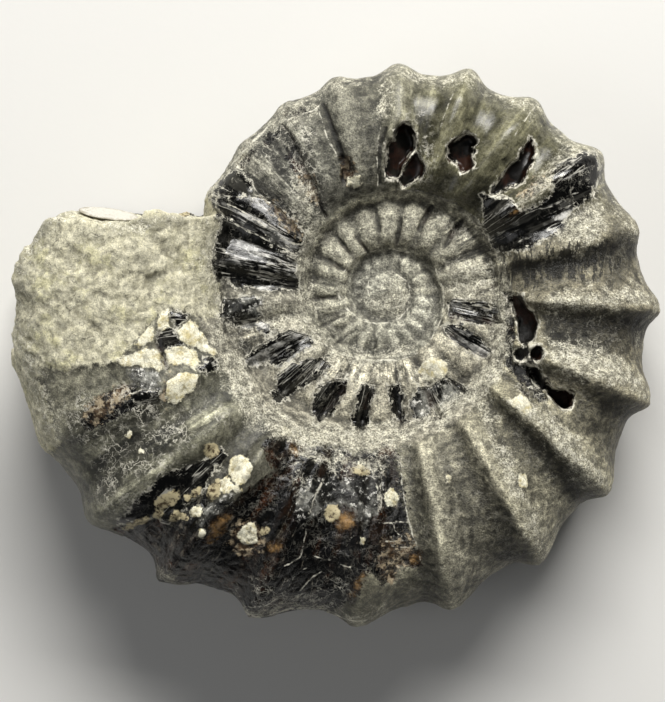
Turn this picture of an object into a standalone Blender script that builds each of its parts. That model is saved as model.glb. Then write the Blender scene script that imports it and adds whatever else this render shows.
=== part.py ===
"""A ribbed ammonite fossil lying on its side, with a blank paper label stuck on its broken end.

The shell is a ribbed tube that coils on a logarithmic spiral. It is lofted one whorl at a time, the
whorls are merged into one stone, and the stone is then given its hollows, its rough broken end and
the worn flats that it rests on. Lengths are in metres, with +Z up.

A "turn" is an angle in degrees along the spiral, measured clockwise from +X as seen from above. It
grows towards the open end, so one whorl is 360 of them. "Pole" is the centre of the spiral.
"""

import math

import bpy
import numpy as np
from mathutils import Matrix, Vector, noise

MM = 0.001

# The spiral: the outer radius between two ribs, as a function of the turn.
REFERENCE_RADIUS = 30 * MM  # at turn 0
GROWTH_PER_TURN = 2.18
FIRST_TURN = -870.0
LAST_TURN = 566.0
# Where the shell grew a little wider or narrower than a perfect spiral.
EASE_TURNS = (150, 205, 245, 300, 340, 375, 440, 495, 570)
EASE_FACTORS = (1.0, 1.062, 1.036, 1.004, 1.0, 0.975, 0.981, 1.0, 0.99)

# The tube's cross-section, as shares of the outer radius.
TUBE_CENTRE = 0.695
TUBE_REACH = 0.305
TUBE_HALF_THICKNESS = 0.285
SECTION_POWER = 2.35

# The plane of coiling leans, because the thick open end and the thin young whorls share one floor.
MID_HEIGHT_AT_POLE = 21.4 * MM
MID_RISE_PER_X = -0.045
MID_RISE_PER_Y = -0.050
UNDERSIDE_CLEARANCE = 1.3 * MM
UNDERSIDE_RIB_HEIGHT = 2.1 * MM
UNDERSIDE_REST_TURNS = (255.0, 300.0)  # the underside comes down to the floor between these

# Ribs of the last whorl: the turn of each crest, and how far it stands out at the outer edge.
LAST_WHORL_RIBS = (
    (209.5, 1.1 * MM),
    (225.5, 1.0 * MM),
    (241.5, 1.5 * MM),
    (256.5, 1.9 * MM),
    (273.0, 2.4 * MM),
    (290.5, 3.4 * MM),
    (307.5, 3.0 * MM),
    (326.5, 3.8 * MM),
    (346.0, 2.4 * MM),
    (363.5, 4.0 * MM),
    (383.0, 4.3 * MM),
    (402.5, 4.6 * MM),
    (420.5, 4.3 * MM),
    (438.5, 4.3 * MM),
    (455.5, 3.8 * MM),
    (473.0, 4.4 * MM),
    (488.5, 4.8 * MM),
    (502.8, 3.9 * MM),
    (517.5, 1.6 * MM),
    (533.0, 0.0),
    (550.0, 0.0),
    (567.0, 0.0),
)
INNER_RIBS = (0, 9, 17, 60)  # counted inwards from the last whorl's first rib
INNER_RIBS_BACK = (0.0, 152.1, 298.9, 1040.0)  # how many degrees before it they lie
INNER_RIB_HEIGHT = 0.058  # a share of the outer radius
RIB_SHARPNESS = 1.8

# The broken end: how far along the spiral the stone reaches at each distance from the pole.
BREAK_RADII = tuple(r * MM for r in (44, 50, 60, 70, 83, 88, 92, 94.5, 98))
BREAK_TURNS = (567, 563, 559.5, 556.8, 554, 550, 544.5, 537, 531)
BREAK_STARTS = 522.0
BREAK_LEAN = 0.08  # how far the broken wall sets back for each metre of height
INFILL_TURNS = (523.0, 533.0)  # the shell ends and the bare stone infill begins
INFILL_LUMP = 1.5 * MM

# Hollows where the shell wall has broken into the chambers: centre, half sizes, angle and depth.
HOLLOWS = (
    ((3.3, 33.6), (4.2, 8.0), 0.0, 6.5),
    ((18.1, 34.4), (4.4, 4.6), 20.0, 4.5),
    ((30.0, 31.0), (2.6, 9.0), -37.0, 3.0),
    ((33.3, -7.8), (3.0, 5.8), 12.0, 5.0),
    ((39.7, -23.2), (2.9, 7.6), 44.0, 7.0),
)

MERGE_VOXEL = 0.9 * MM
STONE_TRIANGLES = 9150
LABEL_SIZE = (14.5 * MM, 8.0 * MM, 0.4 * MM)
LABEL_GAP = 0.35 * MM
LABEL_AT = (-67.2 * MM, 18.2 * MM, 45.0 * MM)
LABEL_LEAN_DEG = 68.0  # from lying flat
LABEL_SWING_DEG = -8.0
LABEL_FACET = 1.3  # the facet under the label is this much larger than it
FACET_BLEND = 1.6  # and this much larger again where it has blended into the stone
FACET_DEPTH = 4 * MM


def clear_scene():
    for obj in list(bpy.data.objects):
        bpy.data.objects.remove(obj, do_unlink=True)


def material(name, colour, roughness):
    made = bpy.data.materials.new(name)
    made.use_nodes = True
    shader = made.node_tree.nodes["Principled BSDF"]
    shader.inputs["Base Color"].default_value = (*colour, 1.0)
    shader.inputs["Roughness"].default_value = roughness
    return made


def smooth_step(low, high, value):
    t = np.clip((np.asarray(value, float) - low) / (high - low), 0.0, 1.0)
    return t * t * (3.0 - 2.0 * t)


def outer_radius(turn):
    return (
        REFERENCE_RADIUS
        * GROWTH_PER_TURN ** (np.asarray(turn, float) / 360.0)
        * np.interp(turn, EASE_TURNS, EASE_FACTORS)
    )


def mid_height(x, y):
    return MID_HEIGHT_AT_POLE + MID_RISE_PER_X * x + MID_RISE_PER_Y * y


def rib_crests():
    """(turns, heights) of every crest from the nucleus to the open end."""
    turns, heights = zip(*LAST_WHORL_RIBS)
    first = turns[0]
    counted = np.arange(INNER_RIBS[-1], 0, -1)
    inner = first - np.interp(counted, INNER_RIBS, INNER_RIBS_BACK)
    inner_heights = INNER_RIB_HEIGHT * outer_radius(inner)
    return np.concatenate([inner, turns]), np.concatenate([inner_heights, heights])


def rib_relief(turn):
    """The height of the ribs at a turn: full on a crest, zero midway between two."""
    turns, heights = rib_crests()
    phase = np.interp(turn, turns, np.arange(len(turns)))
    swell = 0.5 + 0.5 * np.cos(2.0 * math.pi * phase)
    return swell**RIB_SHARPNESS * np.interp(turn, turns, heights)


def ring_points(turn, points):
    """One cross-section of the tube at a turn, or at a turn for each of its points, as (points, 3)."""
    angle = np.linspace(0.0, 2.0 * math.pi, points, endpoint=False)
    turn = np.broadcast_to(np.asarray(turn, float), angle.shape)
    radius = outer_radius(turn)
    across = np.sign(np.cos(angle)) * np.abs(np.cos(angle)) ** (2.0 / SECTION_POWER)
    up = np.sign(np.sin(angle)) * np.abs(np.sin(angle)) ** (2.0 / SECTION_POWER)
    from_pole = radius * (TUBE_CENTRE + TUBE_REACH * across)
    heading = np.radians(turn)
    middle = mid_height(
        radius * TUBE_CENTRE * np.cos(heading), -radius * TUBE_CENTRE * np.sin(heading)
    )

    # The underside comes down near the floor, so that the ribs there carry the stone.
    natural = radius * TUBE_HALF_THICKNESS
    resting = smooth_step(*UNDERSIDE_REST_TURNS, turn)
    below = natural + resting * (middle - UNDERSIDE_CLEARANCE - natural)
    half_thickness = np.where(up > 0, natural, below)

    # Ribs fade out towards the seam with the whorl inside, and bulge at the outer shoulder.
    on_flank = smooth_step(-0.85, -0.35, across)
    shoulder = 0.88 + 0.12 * smooth_step(0.2, 0.9, across)
    relief = rib_relief(turn) * on_flank * shoulder
    limit = np.where(turn > UNDERSIDE_REST_TURNS[0], UNDERSIDE_RIB_HEIGHT, 1.0)
    relief = np.where(up < -0.6, np.minimum(relief, limit), relief)
    outward_r = np.sign(across) * np.abs(across) ** (SECTION_POWER - 1.0) / TUBE_REACH
    outward_z = np.sign(up) * np.abs(up) ** (SECTION_POWER - 1.0) * radius / half_thickness
    length = np.hypot(outward_r, outward_z)
    from_pole = from_pole + relief * outward_r / length
    z = middle + half_thickness * up + relief * outward_z / length
    return np.stack([from_pole * np.cos(heading), -from_pole * np.sin(heading), z], axis=1)


def broken_turns(turn, points):
    """The turn of each point of a ring. Near the end they differ, so that the last ring is the break."""
    if turn <= BREAK_STARTS:
        return turn
    at_end = ring_points(LAST_TURN - 12.0, points)
    from_pole = np.hypot(at_end[:, 0], at_end[:, 1])
    above_middle = at_end[:, 2] - mid_height(at_end[:, 0], at_end[:, 1])
    end = np.interp(from_pole, BREAK_RADII, BREAK_TURNS)
    end = end - np.degrees(BREAK_LEAN * above_middle / from_pole)
    share = (turn - BREAK_STARTS) / (LAST_TURN - BREAK_STARTS)
    return BREAK_STARTS + share * (end - BREAK_STARTS)


def loft(name, rings):
    """A closed tube through rings of equal size, with a fan over each end."""
    count, points = len(rings), len(rings[0])
    middles = [rings[0].mean(axis=0), rings[-1].mean(axis=0)]
    vertices = np.concatenate([*rings, middles])
    faces = []
    for i in range(count - 1):
        for j in range(points):
            k = (j + 1) % points
            a, b = i * points, (i + 1) * points
            faces.append((a + j, b + j, b + k, a + k))
    last = (count - 1) * points
    for j in range(points):
        k = (j + 1) % points
        faces.append((count * points, j, k))
        faces.append((count * points + 1, last + k, last + j))
    mesh = bpy.data.meshes.new(name)
    mesh.from_pydata(vertices.tolist(), [], faces)
    obj = bpy.data.objects.new(name, mesh)
    bpy.context.scene.collection.objects.link(obj)
    return obj


def whorl(name, first, last, degrees_a_ring, points):
    turns = np.linspace(first, last, int((last - first) / degrees_a_ring) + 1)
    return loft(name, [ring_points(broken_turns(turn, points), points) for turn in turns])


def nucleus():
    """The bead of stone at the pole, which the youngest whorl coils round."""
    bpy.ops.mesh.primitive_uv_sphere_add(segments=24, ring_count=12, radius=1.0)
    bead = bpy.context.object
    radius = float(outer_radius(FIRST_TURN + 270.0))
    bead.scale = (radius, radius, radius * 0.55)
    bead.location = (0.0, 0.0, MID_HEIGHT_AT_POLE)
    return bead


def core():
    """Stone between the two umbilical faces, so that no space is left inside the young whorls."""
    bpy.ops.mesh.primitive_cylinder_add(vertices=48, radius=1.0, depth=1.0)
    disc = bpy.context.object
    disc.scale = (13 * MM, 13 * MM, 3.5 * MM)
    disc.location = (0.0, 0.0, MID_HEIGHT_AT_POLE)
    return disc


def modifier(obj, kind, **settings):
    made = obj.modifiers.new(kind.lower(), kind)
    for key, value in settings.items():
        setattr(made, key, value)
    return made


def merged(name, pieces):
    """One skin round all the pieces: they are joined, and a voxel remesh drops what lies inside."""
    with bpy.context.temp_override(
        active_object=pieces[0], selected_editable_objects=pieces, object=pieces[0]
    ):
        bpy.ops.object.join()
    whole = pieces[0]
    whole.name = name
    modifier(whole, "REMESH", mode="VOXEL", voxel_size=MERGE_VOXEL)
    graph = bpy.context.evaluated_depsgraph_get()
    skin = bpy.data.meshes.new_from_object(whole.evaluated_get(graph))
    whole.modifiers.clear()
    whole.data = skin
    skin.name = name
    return whole


def label_frame():
    """The label's place: its X runs along the broken edge, and its Z out of the stone."""
    swing = Matrix.Rotation(math.radians(LABEL_SWING_DEG), 4, "Z")
    lean = Matrix.Rotation(math.radians(-LABEL_LEAN_DEG), 4, "X")
    return Matrix.Translation(LABEL_AT) @ swing @ lean


def lumps(point, size, octaves):
    return noise.fractal(point / size, 0.9, 2.1, octaves, noise_basis="PERLIN_ORIGINAL")


def weathered(point, normal):
    """Where a point of the smooth stone ends up once it is broken, pitted and rough."""
    x, y = point.x, point.y
    turn = math.degrees(math.atan2(-y, x)) % 360.0
    from_pole = math.hypot(x, y)
    if turn + 360.0 < LAST_TURN + 5.0 and from_pole > 1.03 * outer_radius(turn):
        turn += 360.0
    infill = float(smooth_step(*INFILL_TURNS, turn))
    moved = point.copy()
    moved += normal * (infill * INFILL_LUMP * lumps(point, 11 * MM, 4))
    moved += normal * (0.35 * MM * lumps(point, 7 * MM, 3))

    if normal.z > 0.0:
        for (cx, cy), (half_x, half_y), angle, depth in HOLLOWS:
            away = Matrix.Rotation(math.radians(-angle), 2) @ Vector((x / MM - cx, y / MM - cy))
            ragged = 0.18 * lumps(point, 3 * MM, 2)
            distance = math.hypot(away.x / half_x, away.y / half_y) + ragged
            moved.z -= depth * MM * float(smooth_step(1.15, 0.75, distance))

    # A flat facet under the label, which blends into the rough stone round it.
    local = label_frame().inverted() @ moved
    reach = math.hypot(local.x / LABEL_SIZE[0], local.y / LABEL_SIZE[1]) * 2.0 / LABEL_FACET
    if reach < FACET_BLEND and abs(local.z) < FACET_DEPTH:
        local.z *= 1.0 - float(smooth_step(FACET_BLEND, 1.0, reach))
        moved = label_frame() @ local
    return moved


def weather(stone):
    mesh = stone.data
    normals = [vertex.normal.copy() for vertex in mesh.vertices]
    for vertex, normal in zip(mesh.vertices, normals):
        vertex.co = weathered(vertex.co.copy(), normal)
    mesh.update()


def floor_cutter(collection):
    """Everything below the floor. It planes the lowest rib crests into the flats that carry the stone."""
    bpy.ops.mesh.primitive_cube_add(size=1.0)
    box = bpy.context.object
    box.name = "floor_cutter"
    box.scale = (400 * MM, 400 * MM, 40 * MM)
    box.location = (0.0, 0.0, -20 * MM)
    box.hide_render = True
    box.display_type = "WIRE"
    for owner in list(box.users_collection):
        owner.objects.unlink(box)
    collection.objects.link(box)
    return box


def ammonite(cutters):
    stone = merged(
        "ammonite",
        [
            whorl("last_whorl", 185.0, LAST_TURN, 1.5, 48),
            whorl("middle_whorl", -175.0, 200.0, 2.0, 36),
            whorl("inner_whorl", -535.0, -160.0, 3.0, 28),
            whorl("first_whorl", FIRST_TURN, -520.0, 5.0, 20),
            nucleus(),
            core(),
        ],
    )
    weather(stone)
    triangles = sum(len(face.vertices) - 2 for face in stone.data.polygons)
    stone.data.shade_smooth()
    modifier(stone, "DECIMATE", ratio=STONE_TRIANGLES / triangles, use_collapse_triangulate=True)
    modifier(stone, "BOOLEAN", operation="DIFFERENCE", object=floor_cutter(cutters))
    stone.data.materials.append(material("fossil_stone", (0.20, 0.19, 0.15), 0.62))
    return stone


def label():
    """An oval of paper stuck on the facet at the top of the broken end."""
    bpy.ops.mesh.primitive_cylinder_add(vertices=40, radius=0.5, depth=1.0)
    paper = bpy.context.object
    paper.name = "label"
    lifted = Matrix.Translation((0.0, 0.0, LABEL_GAP + LABEL_SIZE[2] / 2))
    paper.matrix_world = label_frame() @ lifted @ Matrix.Diagonal((*LABEL_SIZE, 1.0))
    paper.data.shade_smooth()
    paper.data.set_sharp_from_angle(angle=math.radians(30))
    paper.data.materials.append(material("label_paper", (0.82, 0.81, 0.76), 0.8))
    return paper


def stand_on_origin(objects):
    """Moves everything sideways, so that the middle of the whole object's box is over the origin."""
    bpy.context.view_layer.update()
    graph = bpy.context.evaluated_depsgraph_get()
    corners = [
        obj.matrix_world @ Vector(corner)
        for obj in objects
        for corner in obj.evaluated_get(graph).bound_box
    ]
    for axis in (0, 1):
        low = min(corner[axis] for corner in corners)
        high = max(corner[axis] for corner in corners)
        for obj in objects:
            obj.location[axis] -= (low + high) / 2


def main():
    clear_scene()
    fossil = bpy.data.collections.new("ammonite_fossil")
    cutters = bpy.data.collections.new("cutters")
    for collection in (fossil, cutters):
        bpy.context.scene.collection.children.link(collection)
    objects = [ammonite(cutters), label()]
    for obj in objects:
        for owner in list(obj.users_collection):
            owner.objects.unlink(obj)
        fossil.objects.link(obj)
    stand_on_origin(objects)


main()
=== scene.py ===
"""The looks of the ammonite fossil: its fine surface, its materials, the light and the camera.

The fossil's piece follows the same spiral, ribs, break and hollows as the CAD solid that it replaces.
Features are placed by what the camera sees: their outlines are in pixels of its 665 x 702 picture, and
each vertex is marked by how far inside them it lies. Lengths are in metres and heights in millimetres.
"""

import math

import bpy
import numpy as np
from mathutils import Matrix, Vector, noise


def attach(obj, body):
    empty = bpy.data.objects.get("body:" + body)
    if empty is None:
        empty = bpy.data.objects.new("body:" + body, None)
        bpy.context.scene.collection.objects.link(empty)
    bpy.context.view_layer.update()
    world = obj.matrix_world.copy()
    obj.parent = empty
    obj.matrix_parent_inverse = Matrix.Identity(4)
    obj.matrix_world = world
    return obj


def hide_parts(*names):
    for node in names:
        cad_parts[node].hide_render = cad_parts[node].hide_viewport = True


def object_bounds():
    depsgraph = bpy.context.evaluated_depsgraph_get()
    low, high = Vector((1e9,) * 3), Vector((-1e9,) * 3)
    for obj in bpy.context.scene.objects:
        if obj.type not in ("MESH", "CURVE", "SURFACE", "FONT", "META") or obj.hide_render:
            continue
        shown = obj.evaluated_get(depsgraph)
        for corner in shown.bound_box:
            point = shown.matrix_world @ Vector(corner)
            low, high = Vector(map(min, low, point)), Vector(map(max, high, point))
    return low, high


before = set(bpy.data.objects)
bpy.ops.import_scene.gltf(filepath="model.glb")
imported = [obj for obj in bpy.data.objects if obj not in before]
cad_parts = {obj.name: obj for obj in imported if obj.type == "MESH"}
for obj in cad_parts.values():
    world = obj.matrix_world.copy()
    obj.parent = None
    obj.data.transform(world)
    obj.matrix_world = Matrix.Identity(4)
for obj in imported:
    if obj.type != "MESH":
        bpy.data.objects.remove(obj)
CAD_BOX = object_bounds()

MM = 0.001
POLE = np.array((12.33, 12.49)) * MM  # the spiral's centre on the floor plan

# The camera looks straight down. A pixel is a quarter of a millimetre at the focus height.
PICTURE = (665, 702)
PIXEL = 0.25 * MM
CAMERA_HEIGHT = 0.600
FOCUS_HEIGHT = 0.022
POLE_PIXEL = (386.0, 294.0)

# The spiral and its ribs, as in the solid.
REFERENCE_RADIUS = 30 * MM
GROWTH_PER_TURN = 2.18
FIRST_TURN = -870.0
LAST_TURN = 566.0
EASE_TURNS = (150, 205, 245, 300, 340, 375, 440, 495, 570)
EASE_FACTORS = (1.0, 1.062, 1.036, 1.004, 1.0, 0.975, 0.981, 1.0, 0.99)
TUBE_CENTRE = 0.695
TUBE_REACH = 0.305
TUBE_HALF_THICKNESS = 0.285
SECTION_POWER = 2.35
MID_HEIGHT_AT_POLE = 21.4 * MM
MID_RISE_PER_X = -0.045
MID_RISE_PER_Y = -0.050
UNDERSIDE_CLEARANCE = 1.3 * MM
UNDERSIDE_RIB_HEIGHT = 2.1 * MM
UNDERSIDE_REST_TURNS = (255.0, 300.0)
LAST_WHORL_RIBS = (
    (209.5, 1.1), (225.5, 1.0), (241.5, 1.5), (256.5, 1.9), (273.0, 2.4), (290.5, 3.4),
    (307.5, 3.0), (326.5, 3.8), (346.0, 2.4), (363.5, 4.0), (383.0, 4.3), (402.5, 4.6),
    (420.5, 4.3), (438.5, 4.3), (455.5, 3.8), (473.0, 4.4), (488.5, 4.8), (502.8, 3.9),
    (517.5, 1.6), (533.0, 0.0), (550.0, 0.0), (567.0, 0.0),
)  # (turn, height in mm)
INNER_RIBS = (0, 9, 17, 60)  # counted inwards from the last whorl's first rib
INNER_RIBS_BACK = (0.0, 152.1, 298.9, 1040.0)  # how many degrees before it they lie
INNER_RIB_HEIGHT = 0.058
RIB_SHARPNESS = 1.8
INNER_RIB_SHARPNESS = 0.5  # rounder ribs, with narrow grooves between them
RIBS_SHARPEN = (200.0, 170.0)  # the turns over which the inner ribs give way to the outer ones
RIB_LEAN = 0.24
RIBS_LEAN_FROM = (325.0, 350.0)
RIBS_LEAN_UNTIL = (515.0, 490.0)
WHORLS = (
    ("last", 185.0, LAST_TURN, 0.75, 128),
    ("middle", -175.0, 200.0, 1.0, 96),
    ("inner", -535.0, -160.0, 1.5, 64),
    ("first", FIRST_TURN, -520.0, 3.0, 40),
)  # (name, first turn, last turn, degrees from ring to ring, points in a ring)
NUCLEUS_TURN = FIRST_TURN + 270.0  # the bead is as large as the spiral is there
NUCLEUS_FLATNESS = 0.55
CORE_RADIUS = 13 * MM
CORE_THICKNESS = 3.5 * MM
TURN_AT_POLE = -540.0  # what a point inside the first whorl's turn is counted from
WHORL_MARGIN = 1.03  # a point this far outside a whorl's outer edge is on the next one
BREAK_RADII = tuple(r * MM for r in (44, 50, 60, 70, 83, 88, 92, 94.5, 98))
BREAK_TURNS = (567, 563, 559.5, 556.8, 554, 550, 544.5, 537, 531)
BREAK_STARTS = 522.0
BREAK_SECTION_TURN = LAST_TURN - 12.0
BREAK_LEAN = 0.08
INFILL_TURNS = (523.0, 533.0)
INFILL_LUMP = 1.5
LABEL_SIZE = (14.5 * MM, 8.0 * MM, 0.4 * MM)
LABEL_GAP = 0.35 * MM
LABEL_AT = (-67.2 * MM, 18.2 * MM, 45.0 * MM)
LABEL_LEAN_DEG = 68.0
LABEL_SWING_DEG = -8.0
LABEL_FACET = 1.3
FACET_BLEND = 1.6
FACET_DEPTH = 4 * MM

# The fine surface. Heights are in mm.
FIRST_VOXEL = 0.62 * MM
FINE_VOXEL = 0.46 * MM
TRIANGLES = 196_000
SHARE_KEPT_BELOW = 0.16
FACES_UP = 0.35
FINE_ROUNDS = 3
BROAD_ROUNDS = 40
HOLLOW_EDGE = (-1.2, 2.6)  # pixels inside the outline, from no depth to the full one
GROOVE_EDGE = (-1.5, 2.0)
UNDERSIDE_SHIFT_TURNS = 104.4  # the underside's features are the upper ones, moved along the spiral
UPPER_SIDE = (-7.0, 0.0)  # mm above the plane of coiling: the upper features fade out there
INFILL_EDGE_ABOVE_TURN = 500.0  # its drawn edge counts only from there, and close beside the break:
BESIDE_BREAK = (150.0, 215.0)
PIXELS_PER_DEGREE = 5.0
INFILL_LUMP_SIZE = 11 * MM
ALL_OVER_LUMP = 0.35
ALL_OVER_LUMP_SIZE = 7 * MM
FLUTE_HEIGHT = 0.32
LINE_HEIGHT = 0.10
SHELL_STEP = 0.30
BROWN_STEP = -0.35
CREAM_STEP = 0.30
TAN_STEP = 0.22
AMBER_STEP = 0.16
GLASSY_STEP = 0.14
CRACK_DEPTH = 0.28
CRACK_SPACING = 3.4
CRACK_WIDTHS = (0.16, 0.02)

# The map that the surface's colours are baked through. Its charts are the top, the underside, the
# outer wall in two strips, and the break.
TOP_CHART, UNDER_CHART, EARLY_WALL, LATE_WALL, BREAK_CHART = range(5)
MAP_SIDE = 292.0  # mm
MAP_PLACES = (
    (2.0, 2.0, 1.18),
    (2.0, 172.0, 0.82),
    (196.0, 2.0, 0.95),
    (242.0, 2.0, 0.95),
    (196.0, 232.0, 0.95),
)  # each chart's left edge and bottom edge in mm, and its scale
MAP_SMOOTHING = 14
STEEP_BELOW = 0.55  # a face is steep when it looks up or down by less than this
WALL_STARTS = 206.0
WALL_REACH = 0.86
BREAK_FACING = 0.3
BREAK_HALF_DEPTH = 20.0 * MM

# ---------------------------------------------------------------- what the camera sees, in its pixels


def segment_distance(at, start, end):
    """The distance of points from a segment, and how far along it their foot is, from 0 to 1."""
    along = end - start
    share = ((at - start) @ along) / max(along @ along, 1e-12)
    share = share.clip(0.0, 1.0)
    return np.linalg.norm(at - (start + share[:, None] * along), axis=1), share


def near(at, points, margin):
    """Which places lie in the box round some points, widened by a margin."""
    low, high = points.min(axis=0) - margin, points.max(axis=0) + margin
    return ((at > low) & (at < high)).all(axis=1)


FAR = -40.0  # a signed distance for what is nowhere near a feature


def patch(*corners):
    """A region with straight sides. Its distance is positive inside, in pixels."""
    corners = np.array(corners, float)

    def distance(at):
        found = np.full(len(at), FAR)
        close = near(at, corners, -FAR)
        spots = at[close]
        nearest = np.full(len(spots), 1e9)
        crossings = np.zeros(len(spots), int)
        for start, end in zip(corners, np.roll(corners, -1, axis=0)):
            nearest = np.minimum(nearest, segment_distance(spots, start, end)[0])
            spans = (start[1] > spots[:, 1]) != (end[1] > spots[:, 1])
            rise = end[1] - start[1] if end[1] != start[1] else 1e-9
            cut = start[0] + (spots[:, 1] - start[1]) * (end[0] - start[0]) / rise
            crossings += spans & (spots[:, 0] < cut)
        found[close] = np.where(crossings % 2 == 1, nearest, -nearest)
        return found

    return distance


def stroke(width, *points):
    """A line drawn with a brush of a width, which tapers to two thirds at its ends."""
    points = np.array(points, float)

    def distance(at):
        found = np.full(len(at), FAR)
        close = near(at, points, -FAR)
        spots = at[close]
        best = np.full(len(spots), FAR)
        count = len(points) - 1
        for i in range(count):
            away, share = segment_distance(spots, points[i], points[i + 1])
            place = (i + share) / count
            half = width / 2 * (1.0 - 0.33 * np.abs(2.0 * place - 1.0) ** 3)
            best = np.maximum(best, half - away)
        found[close] = best
        return found

    return distance


def spot(x, y, radius_x, radius_y=None, angle=0.0):
    """An ellipse, turned clockwise by an angle in degrees."""
    radius_y = radius_y or radius_x
    heading = math.radians(angle)

    def distance(at):
        dx, dy = at[:, 0] - x, at[:, 1] - y
        u = dx * math.cos(heading) + dy * math.sin(heading)
        v = dy * math.cos(heading) - dx * math.sin(heading)
        reach = np.hypot(u / radius_x, v / radius_y)
        return np.maximum((1.0 - reach) * min(radius_x, radius_y), FAR)

    return distance


def wandered(at, points):
    """The picture's places, moved by up to a few pixels, so that no feature has a drawn edge."""
    moved = at.copy()
    for axis in (0, 1):
        moved[:, axis] += 3.0 * grain(points, 3.4, 91 + axis, 2) + 1.6 * grain(points, 1.1, 93 + axis, 2)
    return moved


def union(features, at):
    """The distance inside whichever feature each place is deepest in."""
    found = np.full(len(at), FAR)
    for feature in features:
        found = np.maximum(found, feature(at))
    return found


# Hollows that go deep into the chambers: (outline, depth in mm).
DEEP_HOLLOWS = (
    (
        patch((402, 122), (411, 125), (416, 136), (416, 148), (409, 157), (403, 165), (400, 178),
              (387, 178), (384, 166), (386, 156), (387, 142), (393, 139), (396, 129)),
        6.5,
    ),
    (
        patch((416, 150), (421, 158), (425, 166), (424, 174), (419, 180), (409, 186), (402, 188),
              (399, 181), (404, 166), (411, 157)),
        3.4,
    ),
    (
        patch((447, 146), (456, 139), (467, 132), (475, 136), (479, 142), (474, 148), (476, 152),
              (471, 158), (476, 165), (467, 171), (460, 172), (457, 165), (447, 158)),
        4.5,
    ),
    (
        patch((532, 136), (535, 151), (533, 162), (528, 169), (525, 180), (518, 186), (508, 189),
              (495, 196), (489, 194), (496, 185), (503, 173), (508, 166), (517, 160), (521, 151)),
        3.0,
    ),
    (
        patch((508, 296), (521, 294), (528, 308), (536, 314), (538, 323), (535, 340), (521, 346),
              (517, 334), (518, 323), (513, 310)),
        4.5,
    ),
    (patch((515, 348), (528, 345), (530, 352), (526, 362), (515, 360)), 2.5),
    (spot(537, 354, 7, 8), 5.0),
    (patch((528, 366), (537, 368), (545, 381), (550, 390), (541, 390), (532, 381)), 4.5),
    (
        patch((546, 378), (552, 388), (565, 390), (574, 392), (571, 408), (563, 410), (552, 400),
              (547, 394)),
        7.5,
    ),
)

# Shallow dark grooves and slots: (outline, depth in mm).
GROOVES = (
    (stroke(3.5, (521, 388), (537, 405)), 0.9),
    (stroke(5, (324, 105), (333, 130), (346, 166), (343, 182)), 0.7),
    (stroke(4, (284, 126), (297, 152), (308, 176), (326, 216)), 0.7),
    (stroke(4, (252, 186), (274, 206), (298, 232)), 0.6),
    (stroke(3, (386, 128), (379, 150), (380, 184)), 0.6),
    (stroke(3.0, (376, 209), (378, 222), (380, 232)), 0.5),
    (stroke(3.2, (401, 218), (397, 243)), 0.7),
    (stroke(3.2, (356, 236), (368, 252)), 0.7),
    (stroke(3.2, (336, 236), (350, 253)), 0.6),
    (stroke(5, (432, 207), (425, 218), (419, 230)), 0.8),
    (stroke(5, (462, 221), (452, 234), (444, 247)), 0.9),
    (stroke(4, (316, 256), (330, 261), (345, 270)), 0.45),
    (stroke(3, (314, 282), (325, 284), (337, 286)), 0.35),
    (stroke(3, (308, 300), (325, 298), (336, 297)), 0.35),
    (stroke(3, (318, 328), (333, 320), (345, 315)), 0.4),
    (stroke(3, (335, 344), (346, 336), (356, 330)), 0.4),
    (stroke(3, (376, 339), (374, 357)), 0.5),
    (stroke(6, (424, 389), (431, 402), (439, 417)), 1.0),
    (stroke(5, (393, 386), (396, 398), (399, 411)), 1.0),
    (stroke(3.5, (403, 412), (401, 426)), 0.8),
    (stroke(6, (370, 395), (366, 412), (360, 434)), 1.1),
    (stroke(8, (343, 389), (331, 404), (318, 420)), 1.1),
    (stroke(4, (447, 377), (458, 386), (464, 391)), 0.8),
    (stroke(4.5, (452, 316), (475, 320), (501, 322)), 0.9),
    (stroke(4.5, (445, 333), (465, 345), (485, 356)), 0.9),
    (stroke(4, (477, 296), (498, 284)), 0.6),
    (stroke(5, (159, 331), (158, 345), (167, 368)), 0.8),
)

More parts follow.
